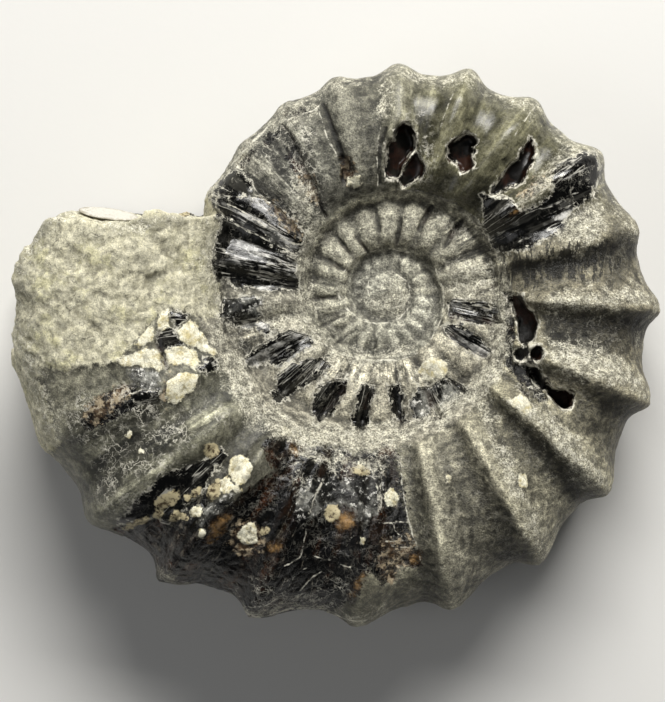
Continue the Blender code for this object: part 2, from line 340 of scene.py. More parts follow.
# Black glossy shell.
SHELL = (
    patch((235, 164), (240, 173), (251, 182), (256, 192), (250, 197), (233, 196), (217, 193),
          (209, 195), (221, 179), (228, 171)),
    patch((209, 196), (233, 196), (256, 197), (275, 205), (290, 218), (303, 232), (303, 250),
          (294, 256), (275, 248), (255, 238), (235, 224), (218, 214)),
    patch((222, 214), (240, 226), (262, 240), (296, 262), (299, 290), (262, 292), (236, 286),
          (213, 276), (212, 262), (217, 240)),
    patch((222, 300), (240, 296), (262, 298), (258, 306), (262, 318), (246, 322), (228, 318),
          (219, 316)),
    patch((221, 318), (245, 315), (262, 322), (274, 330), (272, 338), (255, 328), (222, 324)),
    patch((242, 360), (252, 350), (274, 338), (290, 330), (311, 336), (312, 346), (300, 354),
          (281, 367), (262, 362), (250, 368)),
    patch((320, 357), (328, 362), (323, 376), (302, 386), (284, 402), (276, 404), (272, 396),
          (278, 376), (292, 366), (304, 362)),
    patch((446, 303), (461, 300), (486, 301), (498, 309), (502, 322), (486, 325), (466, 321),
          (452, 316)),
    patch((442, 326), (452, 324), (469, 330), (484, 339), (491, 351), (486, 358), (472, 353),
          (459, 346), (446, 336)),
    patch((430, 387), (446, 378), (460, 386), (476, 392), (456, 401), (446, 409), (440, 420),
          (430, 418), (412, 420), (410, 402), (419, 388)),
    patch((316, 388), (334, 378), (346, 382), (344, 394), (334, 410), (318, 424), (312, 414)),
    patch((356, 396), (364, 386), (374, 386), (372, 410), (366, 428), (358, 438), (352, 424)),
    patch((388, 386), (400, 384), (403, 400), (404, 424), (396, 420), (390, 404)),
    patch((481, 196), (495, 196), (508, 199), (518, 206), (525, 212), (535, 206), (549, 199),
          (553, 189), (549, 176), (556, 165), (569, 158), (583, 153), (595, 154), (600, 165),
          (598, 182), (591, 196), (579, 207), (566, 216), (560, 228), (549, 238), (532, 245),
          (515, 251), (501, 252), (492, 246), (484, 232), (480, 219), (484, 207)),
    patch((220, 448), (227, 458), (214, 471), (205, 489), (194, 497), (187, 506), (170, 524),
          (157, 517), (137, 521), (118, 523), (121, 516), (130, 509), (141, 496), (153, 484),
          (166, 472), (189, 467), (207, 459)),
    patch((122, 398), (134, 392), (146, 390), (162, 390), (160, 398), (144, 402), (130, 408)),
    patch((158, 330), (164, 325), (176, 330), (178, 338), (185, 345), (176, 349), (166, 348),
          (162, 354), (168, 367), (166, 371), (160, 356), (156, 337)),
    patch((169, 310), (188, 314), (186, 321), (177, 325), (170, 316)),
    patch((198, 368), (205, 358), (214, 358), (222, 366), (216, 374), (200, 372)),
)

# Brown shell that light soaks into, nearly black where it is thick.
BROWN = (
    patch((397, 450), (401, 473), (405, 506), (407, 521), (415, 546), (421, 561), (418, 567),
          (405, 566), (397, 568), (394, 582), (382, 583), (374, 574), (366, 571), (362, 588),
          (354, 599), (346, 603), (330, 612), (318, 618), (290, 620), (270, 624), (250, 620),
          (228, 604), (200, 594), (165, 590), (146, 566), (128, 540), (112, 528), (119, 522),
          (157, 517), (171, 524), (187, 506), (205, 489), (215, 500), (233, 505), (246, 492),
          (263, 480), (276, 470), (266, 456), (264, 440), (275, 436), (290, 438), (303, 443),
          (306, 452), (326, 448), (339, 444), (349, 451), (356, 455), (369, 453), (382, 445)),
    patch((79, 419), (92, 402), (104, 393), (118, 387), (130, 383), (141, 388), (161, 388),
          (165, 395), (148, 401), (141, 405), (133, 410), (122, 414), (111, 421), (104, 425),
          (92, 429), (80, 427)),
    patch((299, 169), (308, 170), (314, 180), (319, 193), (318, 205), (308, 203), (300, 184)),
    patch((339, 156), (349, 156), (355, 168), (352, 182), (346, 186), (341, 176)),
    patch((259, 197), (273, 203), (290, 216), (304, 229), (301, 240), (286, 228), (272, 211)),
    patch((286, 109), (300, 106), (306, 112), (292, 117), (283, 118)),
    patch((286, 148), (293, 150), (304, 170), (302, 180), (292, 168)),
    patch((228, 168), (240, 158), (254, 148), (250, 160), (240, 172)),
    patch((262, 140), (274, 130), (282, 128), (276, 140), (266, 150)),
    patch((516, 222), (532, 216), (548, 208), (560, 214), (548, 226), (530, 236), (512, 240)),
    patch((504, 292), (512, 290), (514, 330), (513, 362), (528, 366), (548, 398), (540, 402),
          (524, 384), (508, 366), (506, 330)),
)

# Pale calcite, nearly white.
CREAM = (
    patch((116, 359), (124, 353), (134, 352), (146, 349), (157, 348), (161, 357), (166, 369),
          (160, 372), (154, 367), (145, 366), (135, 364), (124, 368)),
    patch((133, 344), (141, 337), (147, 331), (153, 326), (153, 341), (144, 345)),
    patch((157, 313), (168, 309), (169, 328), (158, 332)),
    patch((177, 329), (183, 325), (190, 321), (199, 327), (202, 335), (210, 346), (216, 354),
          (212, 358), (204, 352), (196, 348), (188, 345), (179, 339)),
    patch((164, 350), (175, 347), (187, 347), (197, 352), (200, 360), (197, 371), (189, 366),
          (179, 366), (168, 367), (165, 358)),
    patch((168, 382), (179, 375), (200, 373), (199, 379), (196, 388), (185, 396), (175, 404),
          (169, 403), (167, 392)),
    patch((231, 460), (240, 456), (248, 458), (253, 466), (250, 474), (246, 484), (240, 487),
          (233, 480), (229, 470)),
    patch((220, 480), (230, 476), (234, 486), (228, 494), (218, 492)),
    patch((278, 424), (286, 426), (300, 437), (293, 440), (283, 435)),
    patch((511, 401), (521, 394), (530, 403), (533, 412), (530, 418), (519, 412), (513, 408)),
    spot(249, 535, 9.6, 10.2),
    spot(237, 490, 5),
    spot(197, 511, 6.2),
    spot(202, 534, 4, 5),
    spot(128, 435, 4.2),
    spot(142, 452, 2.8),
    spot(355, 182, 7, 6),
    spot(362, 540, 2.9),
    spot(391, 497, 7.5, 9),
    spot(523, 480, 4.8, 6.6),
    spot(447, 478, 2.6, 3.6),
    spot(434, 369, 14, 12),
)

# Tan nodules.
TAN = (
    spot(211, 450, 8),
    spot(168, 500, 13, 7, -26),
    spot(159, 514, 5.5),
    spot(175, 517, 5, 6),
    spot(187, 498, 3.6),
    spot(196, 492, 6, 4, -30),
    spot(214, 490, 5, 10, 20),
    spot(184, 518, 4),
    spot(137, 522, 14, 4, -20),
    spot(332, 512, 7, 9, 40),
    spot(360, 470, 8, 5),
    spot(266, 530, 4),
)

# Amber: calcite that light gets through.
AMBER = (
    spot(345, 521, 12, 11, 35),
    spot(294, 449, 6, 10, -15),
    patch((346, 598), (352, 584), (362, 570), (368, 572), (362, 590), (352, 602)),
    spot(274, 549, 10, 7, -20),
    patch((206, 544), (210, 522), (226, 510), (234, 514), (226, 532), (212, 546)),
    patch((408, 556), (420, 548), (424, 564), (410, 566)),
    patch((504, 220), (514, 208), (526, 204), (522, 212), (508, 219)),
)

# Rusty, crumbling shell.
RUST = (
    patch((84, 422), (82, 412), (96, 398), (112, 389), (128, 388), (124, 400), (108, 412), (96, 424)),
    patch((236, 522), (262, 528), (262, 552), (244, 556), (230, 544)),
    patch((384, 540), (410, 536), (418, 560), (402, 566), (392, 584), (380, 572)),
    patch((516, 196), (532, 180), (548, 172), (544, 186), (526, 200)),
    patch((299, 172), (308, 172), (316, 192), (317, 204), (308, 200)),
    patch((341, 160), (348, 158), (354, 172), (350, 184), (343, 176)),
    patch((262, 200), (276, 206), (298, 228), (300, 238), (284, 226)),
    spot(168, 390, 4, 10, 10),
)

# Grey glassy calcite.
GLASSY = (
    patch((298, 486), (306, 480), (326, 478), (341, 483), (366, 478), (379, 476), (381, 488),
          (377, 516), (366, 523), (357, 521), (354, 512), (346, 506), (333, 506), (326, 508),
          (316, 513), (308, 518), (299, 521), (293, 509)),
    patch((205, 508), (222, 495), (235, 496), (229, 506), (216, 519), (200, 528), (194, 521)),
    patch((126, 370), (140, 367), (158, 372), (162, 388), (146, 392), (132, 384)),
    patch((222, 300), (240, 297), (262, 298), (256, 316), (238, 316), (224, 314)),
    patch((412, 402), (420, 392), (432, 388), (428, 410), (424, 417), (415, 415)),
    patch((440, 388), (456, 384), (468, 392), (452, 402), (442, 408)),
)

# Painted highlights on the black shell: grey and white streaks that follow the ribs.
PAINTED_HIGHLIGHTS = (
    patch((222, 206), (236, 196), (262, 204), (284, 222), (300, 240), (290, 250), (262, 232),
          (234, 218)),
    patch((214, 252), (240, 248), (262, 250), (298, 262), (296, 276), (262, 268), (232, 262)),
    patch((246, 290), (262, 284), (300, 300), (300, 328), (278, 334), (258, 322), (256, 304)),
    patch((250, 352), (300, 326), (312, 334), (276, 358), (256, 366)),
    patch((274, 374), (300, 352), (324, 346), (326, 356), (300, 374), (280, 390)),
    patch((452, 300), (470, 296), (500, 306), (498, 316), (462, 312)),
    patch((456, 326), (470, 328), (492, 350), (486, 358), (462, 340)),
    patch((546, 226), (566, 206), (572, 212), (552, 232)),
    patch((498, 216), (512, 204), (522, 206), (510, 222)),
    patch((540, 196), (560, 176), (584, 166), (588, 172), (566, 186), (548, 204)),
    patch((236, 350), (246, 324), (264, 322), (276, 334), (262, 352), (246, 358)),
)

# Where pale threads of broken shell lie thickly.
WEB = (
    patch((222, 322), (250, 316), (300, 334), (316, 350), (262, 356), (236, 356)),
    patch((296, 372), (352, 350), (430, 356), (436, 384), (330, 380), (306, 384)),
    patch((286, 456), (330, 446), (400, 452), (400, 478), (330, 476), (300, 500)),
    patch((226, 596), (250, 580), (300, 584), (346, 580), (350, 600), (300, 622), (240, 616)),
    patch((566, 176), (600, 146), (612, 176), (584, 210), (560, 226)),
    patch((210, 200), (230, 168), (256, 180), (250, 200)),
    patch((436, 214), (476, 220), (502, 260), (492, 290), (460, 262)),
    patch((150, 424), (214, 402), (230, 420), (190, 448), (130, 470)),
    patch((222, 180), (246, 150), (284, 122), (312, 128), (326, 210), (300, 236), (262, 206)),
    patch((60, 400), (120, 384), (168, 404), (150, 440), (96, 470), (70, 440)),
    patch((96, 470), (160, 452), (176, 470), (130, 512), (104, 520)),
    patch((376, 176), (386, 124), (424, 112), (434, 176), (404, 192)),
    patch((500, 284), (516, 290), (548, 380), (530, 410), (500, 372)),
)

# Pale matt dust and sediment: where it lies thickest. The two strokes along the infill's top edge are
# painted light instead: its bevel made paler, as where it faces the lamp.
DUST_AND_PAINTED_LIGHT = (
    stroke(26, (231, 356), (240, 385), (258, 412), (288, 430), (330, 437), (372, 436), (405, 432)),
    stroke(20, (405, 434), (430, 418), (455, 402), (480, 390), (500, 366)),
    stroke(5, (284, 450), (320, 457), (356, 462), (394, 466)),
    stroke(16, (498, 284), (500, 310), (502, 335), (498, 360)),
    stroke(13, (209, 222), (211, 262), (217, 300), (222, 345)),
    stroke(9, (384, 76), (385, 96), (383, 118)),
    stroke(12, (209, 190), (226, 170), (244, 150), (266, 128), (292, 108), (322, 88), (345, 78),
           (385, 74)),
    stroke(9, (385, 73), (402, 69), (420, 75), (445, 78), (466, 71), (484, 80), (508, 98), (537, 106)),
    stroke(6, (150, 566), (176, 586), (206, 592), (236, 610), (258, 615), (286, 606), (316, 606)),
    stroke(6, (318, 608), (340, 618), (362, 620), (384, 610)),
    stroke(7, (537, 104), (560, 134), (600, 150), (614, 190), (620, 214), (640, 236), (642, 262)),
    stroke(5, (642, 262), (650, 286), (656, 304), (654, 320), (640, 344)),
    stroke(8, (322, 94), (312, 108), (286, 119)),
    spot(465, 281, 21, 18),
    spot(390, 302, 20, 14),
    spot(279, 314, 15, 12),
    spot(434, 369, 13, 11),
    patch((560, 226), (575, 216), (600, 205), (606, 226), (598, 240), (570, 246), (552, 240)),
    patch((508, 400), (540, 408), (575, 434), (602, 476), (606, 488), (584, 482), (556, 452),
          (530, 424)),
    patch((516, 300), (560, 294), (640, 288), (654, 304), (600, 311), (545, 308)),
    patch((546, 336), (600, 350), (640, 372), (648, 394), (610, 386), (562, 374), (546, 352)),
    stroke(12, (484, 404), (500, 450), (530, 520), (545, 560)),
    patch((526, 186), (548, 172), (556, 158), (580, 148), (560, 168), (552, 186), (536, 202),
          (522, 204)),
    # Painted light: the infill's top bevel made paler, as where it faces the lamp.
    stroke(13, (14, 310), (20, 262), (46, 222), (78, 208)),
    stroke(15, (100, 226), (130, 226), (164, 219), (204, 212)),
    stroke(14, (20, 330), (30, 366), (42, 400), (50, 440)),
    stroke(16, (300, 186), (312, 232), (302, 280), (304, 320), (330, 352), (372, 360), (410, 350)),
)

# Thin pale lines, each after its width: veins of calcite and the edges of broken shell.
LINES = (
    (1.6, (485, 197), (501, 198), (511, 200), (518, 207), (521, 213)),
    (2.0, (323, 478), (317, 492), (309, 514)),
    (1.1, (362, 476), (378, 476), (378, 512)),
    (1.0, (381, 477), (381, 512)),
    (1.0, (347, 546), (350, 538), (356, 536)),
    (1.4, (314, 556), (334, 561), (351, 568)),
    (1.2, (401, 473), (406, 513), (421, 560)),
    (1.0, (376, 523), (406, 522)),
    (0.8, (386, 541), (412, 541)),
    (0.8, (392, 546), (417, 548)),
    (0.9, (393, 524), (397, 534), (406, 536)),
    (1.2, (226, 203), (250, 215), (276, 234), (298, 248), (304, 240)),
    (1.0, (233, 223), (262, 238), (294, 254)),
    (1.5, (599, 166), (598, 182), (592, 197)),
    (1.2, (255, 322), (268, 326), (276, 334)),
    (1.1, (276, 374), (290, 364), (306, 352), (318, 346)),
    (1.1, (462, 304), (484, 306), (497, 312)),
    (1.2, (286, 119), (300, 115), (314, 110), (321, 104)),
    (1.0, (251, 183), (257, 193), (270, 203)),
    (0.8, (537, 104), (524, 122), (513, 138), (506, 150)),
    (0.8, (453, 92), (446, 112), (438, 138)),
    (1.0, (307, 530), (304, 545), (298, 560), (284, 567)),
    (1.0, (288, 587), (296, 574), (306, 568)),
    (0.9, (300, 592), (312, 578), (322, 571)),
    (1.0, (331, 580), (338, 584), (350, 584)),
    (1.6, (206, 590), (230, 599), (245, 613), (262, 619), (280, 611), (293, 608)),
    (1.4, (293, 608), (312, 609), (335, 615), (352, 621), (366, 620)),
    (1.2, (236, 604), (250, 608), (266, 606), (278, 598)),
    (1.6, (210, 190), (216, 178), (228, 168), (240, 156), (252, 142), (268, 126)),
    (1.0, (337, 288), (341, 303), (349, 311), (362, 321), (382, 324), (400, 320), (412, 305)),
    (0.9, (369, 280), (367, 292), (372, 302), (390, 310), (405, 305), (410, 295), (409, 282),
     (397, 275)),
    (1.0, (302, 318), (315, 332), (330, 350), (352, 357), (375, 361), (410, 359), (430, 342),
     (441, 320)),
    (0.9, (441, 320), (444, 304), (443, 290), (436, 268)),
    (1.0, (344, 272), (352, 258), (370, 251), (392, 248), (412, 253)),
    (1.2, (383, 118), (378, 140), (376, 160), (378, 186)),
    (1.0, (318, 110), (326, 134), (338, 158)),
)

# The dark trough under a rib, whose lower edge is the fringe of a suture.
SUTURE = (patch((509, 257), (545, 255), (604, 247), (609, 262), (580, 271), (545, 276), (512, 277)),)

# The stone infill of the broken end meets the shell along this line.
INFILL_EDGE = patch(
    (0, 160), (207, 190), (219, 222), (217, 240), (211, 253), (211, 268), (219, 283), (222, 300),
    (218, 318), (202, 317), (185, 310), (168, 310), (156, 318), (135, 341), (118, 358), (113, 363),
    (90, 367), (74, 369), (69, 373), (59, 369), (44, 366), (41, 374), (47, 396), (55, 426),
    (60, 446), (30, 470), (0, 470),
)
# The stone's colour along the spiral: (turn, colour as a picture shows it, from 0 to 255).
STONE_TINTS = (
    (-900, (206, 201, 182)),
    (-500, (192, 189, 172)),
    (-330, (176, 174, 159)),
    (-180, (166, 163, 146)),
    (-40, (150, 147, 131)),
    (40, (170, 165, 147)),
    (130, (170, 165, 147)),
    (180, (152, 148, 133)),
    (232, (108, 107, 97)),
    (262, (112, 110, 97)),
    (285, (88, 86, 68)),
    (322, (86, 84, 66)),
    (345, (122, 117, 99)),
    (372, (130, 124, 104)),
    (405, (148, 143, 121)),
    (432, (150, 146, 128)),
    (448, (124, 121, 103)),
    (480, (98, 96, 84)),
    (508, (104, 103, 88)),
    (530, (132, 129, 112)),
    (560, (152, 146, 120)),
)
# How polished it is: (turn, share).
POLISH = (
    (-900, 0.0), (200, 0.1), (264, 0.25), (278, 0.9), (330, 0.9), (345, 0.25), (440, 0.2), (475, 0.6),
    (520, 0.5),
)

# Places where the stone is darker or paler: (outline, factor, softness in pixels). Some are its own
# tone; the dark ones in the troughs, under the ribs and at the whorl seam are painted shade, the pale
# strokes on the crests beside them are painted highlights, and the pale spot on the polished top is a
# painted highlight.
TONES_AND_PAINTED_LIGHT = (
    # Painted shade in the troughs and under the ribs at the right, with painted highlights on the crests
    # between them.
    (patch((540, 316), (655, 314), (650, 342), (600, 354), (552, 348)), 0.22, 7),
    (patch((560, 392), (590, 400), (640, 410), (632, 440), (612, 470), (585, 430)), 0.44, 8),
    (stroke(7, (556, 372), (600, 368), (640, 362)), 1.25, 5),
    (patch((500, 398), (530, 420), (570, 455), (604, 494), (580, 508), (545, 486), (515, 436)), 0.46, 9),
    (patch((460, 470), (500, 500), (545, 560), (520, 566), (480, 540)), 0.55, 9),
    (patch((440, 450), (470, 500), (520, 570), (470, 600), (440, 560), (430, 500)), 0.66, 12),
    (stroke(5, (452, 548), (480, 572), (506, 580)), 1.7, 5),
    (stroke(7, (470, 540), (500, 556), (530, 556)), 0.4, 5),
    (patch((476, 160), (500, 190), (480, 210), (440, 196), (416, 190)), 0.55, 9),
    # Painted shade at the whorl seam.
    (patch((300, 190), (350, 168), (400, 172), (450, 184), (400, 190), (350, 191), (308, 214)), 0.62, 7),
    (
        stroke(12, (312, 234), (332, 216), (356, 204), (384, 198), (412, 198), (438, 206), (458, 220)),
        1.7,
        4,
    ),
    (patch((508, 258), (550, 262), (604, 244), (604, 262), (560, 272), (514, 274)), 0.36, 4),
    (spot(620, 250, 15, 24), 0.32, 6),
    (patch((55, 372), (120, 366), (130, 384), (100, 390), (70, 402), (58, 400)), 1.55, 7),
    (patch((60, 404), (80, 430), (130, 432), (120, 470), (80, 500), (62, 450)), 0.95, 10),
    (patch((176, 400), (240, 396), (262, 430), (230, 444), (196, 440)), 1.50, 9),
    (stroke(16, (146, 446), (180, 426), (214, 408)), 1.5, 5),
    # Painted shade along the grooves and the ribs' lower sides at the upper left.
    (stroke(9, (283, 140), (296, 166), (310, 194), (326, 216)), 0.42, 3.5),
    (stroke(7, (322, 104), (328, 124), (342, 160), (352, 182)), 0.48, 3),
    (stroke(8, (252, 180), (268, 196), (290, 216)), 0.5, 3.5),
    (stroke(9, (246, 158), (262, 150), (284, 132), (300, 122)), 0.62, 5),
    (stroke(5, (206, 206), (222, 178), (246, 150), (274, 126), (306, 98)), 1.7, 4),
    (patch((200, 400), (240, 420), (220, 445), (190, 462), (150, 476), (140, 464), (180, 440)), 1.40, 7),
    (patch((120, 462), (166, 440), (170, 470), (140, 494), (118, 506)), 1.60, 6),
    (stroke(9, (96, 470), (140, 448), (180, 430)), 0.55, 4),
    (stroke(8, (70, 396), (100, 380), (150, 376)), 0.55, 4),
    (stroke(6, (118, 500), (160, 470), (206, 450)), 0.6, 3),
    (stroke(10, (430, 430), (436, 480), (440, 540), (430, 580)), 1.35, 6),
    (stroke(8, (470, 560), (500, 572), (530, 560)), 1.4, 6),
    (stroke(7, (462, 440), (490, 500), (520, 560)), 1.4, 5),
    # A painted highlight on the polished top.
    (spot(440, 92, 12, 16, 20), 1.35, 5),
    (stroke(7, (430, 190), (470, 170), (498, 150)), 0.6, 5),
    (stroke(6, (440, 84), (452, 112), (448, 138)), 0.7, 4),
    (patch((214, 380), (262, 400), (290, 440), (262, 452), (228, 436), (206, 410)), 0.85, 9),
)

# ---------------------------------------------------------------- numbers on many points at once


def smooth_step(low, high, value):
    """From 0 to 1 with soft ends, while a value goes from low to high."""
    t = np.clip((np.asarray(value, float) - low) / (high - low), 0.0, 1.0)
    return t * t * (3.0 - 2.0 * t)


# Large odd numbers that scatter neighbouring cells.
CELL_FACTORS = (73856093, 19349663, 83492791)
SEED_FACTOR = 2654435
MIXING_FACTOR = 1274126177


def lattice(cell, seed):
    """A number from 0 to 1 for each whole-number cell, the same each time."""
    mixed = seed * SEED_FACTOR
    for axis, factor in enumerate(CELL_FACTORS):
        mixed = mixed ^ cell[..., axis] * factor
    mixed = (mixed ^ (mixed >> 13)) * MIXING_FACTOR
    mixed = mixed ^ (mixed >> 16)
    return (mixed & 0xFFFFFF) / float(0xFFFFFF)


# The noise's axes, turned so that its cells don't line up with the fossil's.
TURNED = np.array(((0.36, 0.48, -0.80), (-0.80, 0.60, 0.00), (0.48, 0.64, 0.60)))


def grain(points, size, seed, octaves=3, keep=0.5):
    """Smooth noise from -1 to 1 at points in metres, with features of about a size in mm."""
    total, weight, reach = np.zeros(len(points)), 1.0, 0.0
    place = (points @ TURNED) / (size * MM) + seed * 17.31
    for octave in range(octaves):
        cell = np.floor(place).astype(np.int64)
        part = place - cell
        ease = part**3 * (part * (part * 6 - 15) + 10)
        value = np.zeros(len(points))
        for corner in np.ndindex(2, 2, 2):
            share = np.prod(np.where(corner, ease, 1.0 - ease), axis=1)
            value += share * lattice(cell + corner, seed + octave)
        total += weight * (2.0 * value - 1.0)
        reach += weight
        weight *= keep
        place = place @ TURNED * 2.03 + 5.7
    return total / reach


def ridges(points, size, seed):
    """Sharp ridges between rounded hollows, from about -0.6 to 0.6."""
    warp = np.stack([grain(points, size, seed + i, 2) for i in (5, 6, 7)], axis=1)
    return 0.6 - 2.4 * np.abs(grain(points + 0.35 * size * MM * warp, size, seed, 2))


def spiral_place(points):
    """A place that follows the spiral: two numbers turn round the pole and the third goes outwards."""
    heading = np.arctan2(points[:, 1], points[:, 0])
    reach = np.log(np.maximum(np.hypot(points[:, 0], points[:, 1]), MM) / REFERENCE_RADIUS)
    return REFERENCE_RADIUS * np.stack([np.cos(heading), np.sin(heading), reach], axis=1)


def cells(points, size, seed):
    """(distance to the nearest seed, how much nearer it is than the next), both in cell sizes."""
    place = points / (size * MM)
    home = np.floor(place).astype(np.int64)
    nearest = np.full(len(points), 9.0)
    second = np.full(len(points), 9.0)
    for step in np.ndindex(3, 3, 3):
        cell = home + np.array(step) - 1
        spots = [cell[:, i] + 0.15 + 0.7 * lattice(cell, seed + 31 * i) for i in range(3)]
        away = np.linalg.norm(np.stack(spots, axis=1) - place, axis=1)
        second = np.minimum(second, np.maximum(nearest, away))
        nearest = np.minimum(nearest, away)
    return nearest, second - nearest


# ---------------------------------------------------------------- the shape


def outer_radius(turn):
    """The distance of the whorl's outer edge from the pole, without its ribs."""
    return (
        REFERENCE_RADIUS
        * GROWTH_PER_TURN ** (np.asarray(turn, float) / 360.0)
        * np.interp(turn, EASE_TURNS, EASE_FACTORS)
    )


def mid_height(x, y):
    """The height of the plane of coiling, for a place measured from the pole."""
    return MID_HEIGHT_AT_POLE + MID_RISE_PER_X * x + MID_RISE_PER_Y * y


def rib_crests():
    """The turn and the height of each crest, from the middle outwards."""
    turns, heights = np.array(LAST_WHORL_RIBS).T
    counted = np.arange(INNER_RIBS[-1], 0, -1)
    inner = turns[0] - np.interp(counted, INNER_RIBS, INNER_RIBS_BACK)
    heights = np.concatenate([INNER_RIB_HEIGHT * outer_radius(inner), heights * MM])
    return np.concatenate([inner, turns]), heights


def rib_phase(turn):
    """How far a turn is past the last crest, from 0 to 1."""
    crests, _ = rib_crests()
    return np.interp(turn, crests, np.arange(len(crests))) % 1.0


def steepness(turn):
    """From 0 to 1, how much steeper a rib's far side is than its near one."""
    return smooth_step(*RIBS_LEAN_FROM, turn) * smooth_step(*RIBS_LEAN_UNTIL, turn)


def rib_relief(turn):
    """How high the ribs stand at each turn."""
    past = rib_phase(turn) ** (1.0 - RIB_LEAN * steepness(turn))
    swell = 0.5 + 0.5 * np.cos(2.0 * math.pi * past)
    inner = smooth_step(*RIBS_SHARPEN, turn)
    sharpness = RIB_SHARPNESS + inner * (INNER_RIB_SHARPNESS - RIB_SHARPNESS)
    return swell**sharpness * np.interp(turn, *rib_crests())


def rings(turn):
    """Cross-sections of the tube for an array of turns, one row to a ring, as (rings, points, 3)."""
    angle = np.linspace(0.0, 2.0 * math.pi, turn.shape[1], endpoint=False)[None, :]
    radius = outer_radius(turn)
    across = np.sign(np.cos(angle)) * np.abs(np.cos(angle)) ** (2.0 / SECTION_POWER)
    up = np.sign(np.sin(angle)) * np.abs(np.sin(angle)) ** (2.0 / SECTION_POWER)
    across, up = np.broadcast_to(across, turn.shape), np.broadcast_to(up, turn.shape)
    heading = np.radians(turn)
    centre = radius * TUBE_CENTRE
    middle = mid_height(centre * np.cos(heading), -centre * np.sin(heading))
    natural = radius * TUBE_HALF_THICKNESS
    resting = smooth_step(*UNDERSIDE_REST_TURNS, turn)
    below = natural + resting * (middle - UNDERSIDE_CLEARANCE - natural)
    half_thickness = np.where(up > 0, natural, below)

    on_flank = smooth_step(-0.85, -0.35, across)
    shoulder = 0.88 + 0.12 * smooth_step(0.2, 0.9, across)
    relief = rib_relief(turn) * on_flank * shoulder
    limit = np.where(turn > UNDERSIDE_REST_TURNS[0], UNDERSIDE_RIB_HEIGHT, 1.0)
    relief = np.where(up < -0.6, np.minimum(relief, limit), relief)
    outward_r = np.sign(across) * np.abs(across) ** (SECTION_POWER - 1.0) / TUBE_REACH
    outward_z = np.sign(up) * np.abs(up) ** (SECTION_POWER - 1.0) * radius / half_thickness
    length = np.hypot(outward_r, outward_z)
    from_pole = radius * (TUBE_CENTRE + TUBE_REACH * across) + relief * outward_r / length
    z = middle + half_thickness * up + relief * outward_z / length
    return np.stack([from_pole * np.cos(heading), -from_pole * np.sin(heading), z], axis=2)


def whorl_turns(first, last, step, points):
    """The turn of each point of each ring. Near the end they follow the break."""
    turn = np.repeat(np.linspace(first, last, int((last - first) / step) + 1)[:, None], points, 1)
    if last < LAST_TURN:
        return turn
    at_end = rings(np.full((1, points), BREAK_SECTION_TURN))[0]
    from_pole = np.hypot(at_end[:, 0], at_end[:, 1])
    above_middle = at_end[:, 2] - mid_height(at_end[:, 0], at_end[:, 1])
    end = np.interp(from_pole, BREAK_RADII, BREAK_TURNS)
    end = end - np.degrees(BREAK_LEAN * above_middle / from_pole)
    share = (turn - BREAK_STARTS) / (LAST_TURN - BREAK_STARTS)
    return np.where(turn > BREAK_STARTS, BREAK_STARTS + share * (end - BREAK_STARTS), turn)


def new_object(name, vertices, faces):
    mesh = bpy.data.meshes.new(name)
    mesh.from_pydata(vertices.tolist(), [], faces)
    obj = bpy.data.objects.new(name, mesh)
    bpy.context.scene.collection.objects.link(obj)
    return obj


def whorl(name, first, last, step, points):
    """A closed tube, with a fan over each end."""
    shape = rings(whorl_turns(first, last, step, points))
    count = len(shape)
    row = np.arange(points)
    following = (row + 1) % points
    faces = []
    for i in range(count - 1):
        a, b = i * points, (i + 1) * points
        faces += np.stack([a + row, b + row, b + following, a + following], axis=1).tolist()
    last_row = (count - 1) * points
    faces += [(count * points, j, k) for j, k in zip(row, following)]
    faces += [(count * points + 1, last_row + k, last_row + j) for j, k in zip(row, following)]
    middles = np.stack([shape[0].mean(axis=0), shape[-1].mean(axis=0)])
    return new_object(name, np.concatenate([shape.reshape(-1, 3), middles]), faces)


def nucleus():
    """The bead at the centre of the spiral."""
    bpy.ops.mesh.primitive_uv_sphere_add(segments=48, ring_count=24, radius=1.0)
    bead = bpy.context.object
    radius = float(outer_radius(NUCLEUS_TURN))
    bead.scale = (radius, radius, radius * NUCLEUS_FLATNESS)
    bead.location = (0.0, 0.0, MID_HEIGHT_AT_POLE)
    return bead


def core():
    """A disc in the plane of coiling, so that no gap is left between the inner whorls."""
    bpy.ops.mesh.primitive_cylinder_add(vertices=64, radius=1.0, depth=1.0)
    disc = bpy.context.object
    disc.scale = (CORE_RADIUS, CORE_RADIUS, CORE_THICKNESS)
    disc.location = (0.0, 0.0, MID_HEIGHT_AT_POLE)
    return disc


def with_modifier(obj, kind, **settings):
    """Gives the object a modifier and applies it."""
    made = obj.modifiers.new(kind.lower(), kind)
    for key, value in settings.items():
        setattr(made, key, value)
    graph = bpy.context.evaluated_depsgraph_get()
    mesh = bpy.data.meshes.new_from_object(obj.evaluated_get(graph))
    obj.modifiers.clear()
    obj.data = mesh
    return obj


def joined(name, pieces):
    with bpy.context.temp_override(
        active_object=pieces[0], selected_editable_objects=pieces, object=pieces[0]
    ):
        bpy.ops.object.join()
    pieces[0].name = name
    return pieces[0]


def positions(mesh):
    found = np.empty(len(mesh.vertices) * 3, np.float32)
    mesh.vertices.foreach_get("co", found)
    return found.reshape(-1, 3).astype(float)


def normals(mesh):
    found = np.empty(len(mesh.vertices) * 3, np.float32)
    mesh.vertex_normals.foreach_get("vector", found)
    return found.reshape(-1, 3).astype(float)


def move_vertices(mesh, places):
    mesh.vertices.foreach_set("co", places.astype(np.float32).ravel())
    mesh.update()


def lumps(points, size, octaves):
    """The same noise as the solid's, so that both have the same lumps."""
    place = points / size
    basis = "PERLIN_ORIGINAL"
    return np.array([noise.fractal(p, 0.9, 2.1, octaves, noise_basis=basis) for p in place.tolist()])


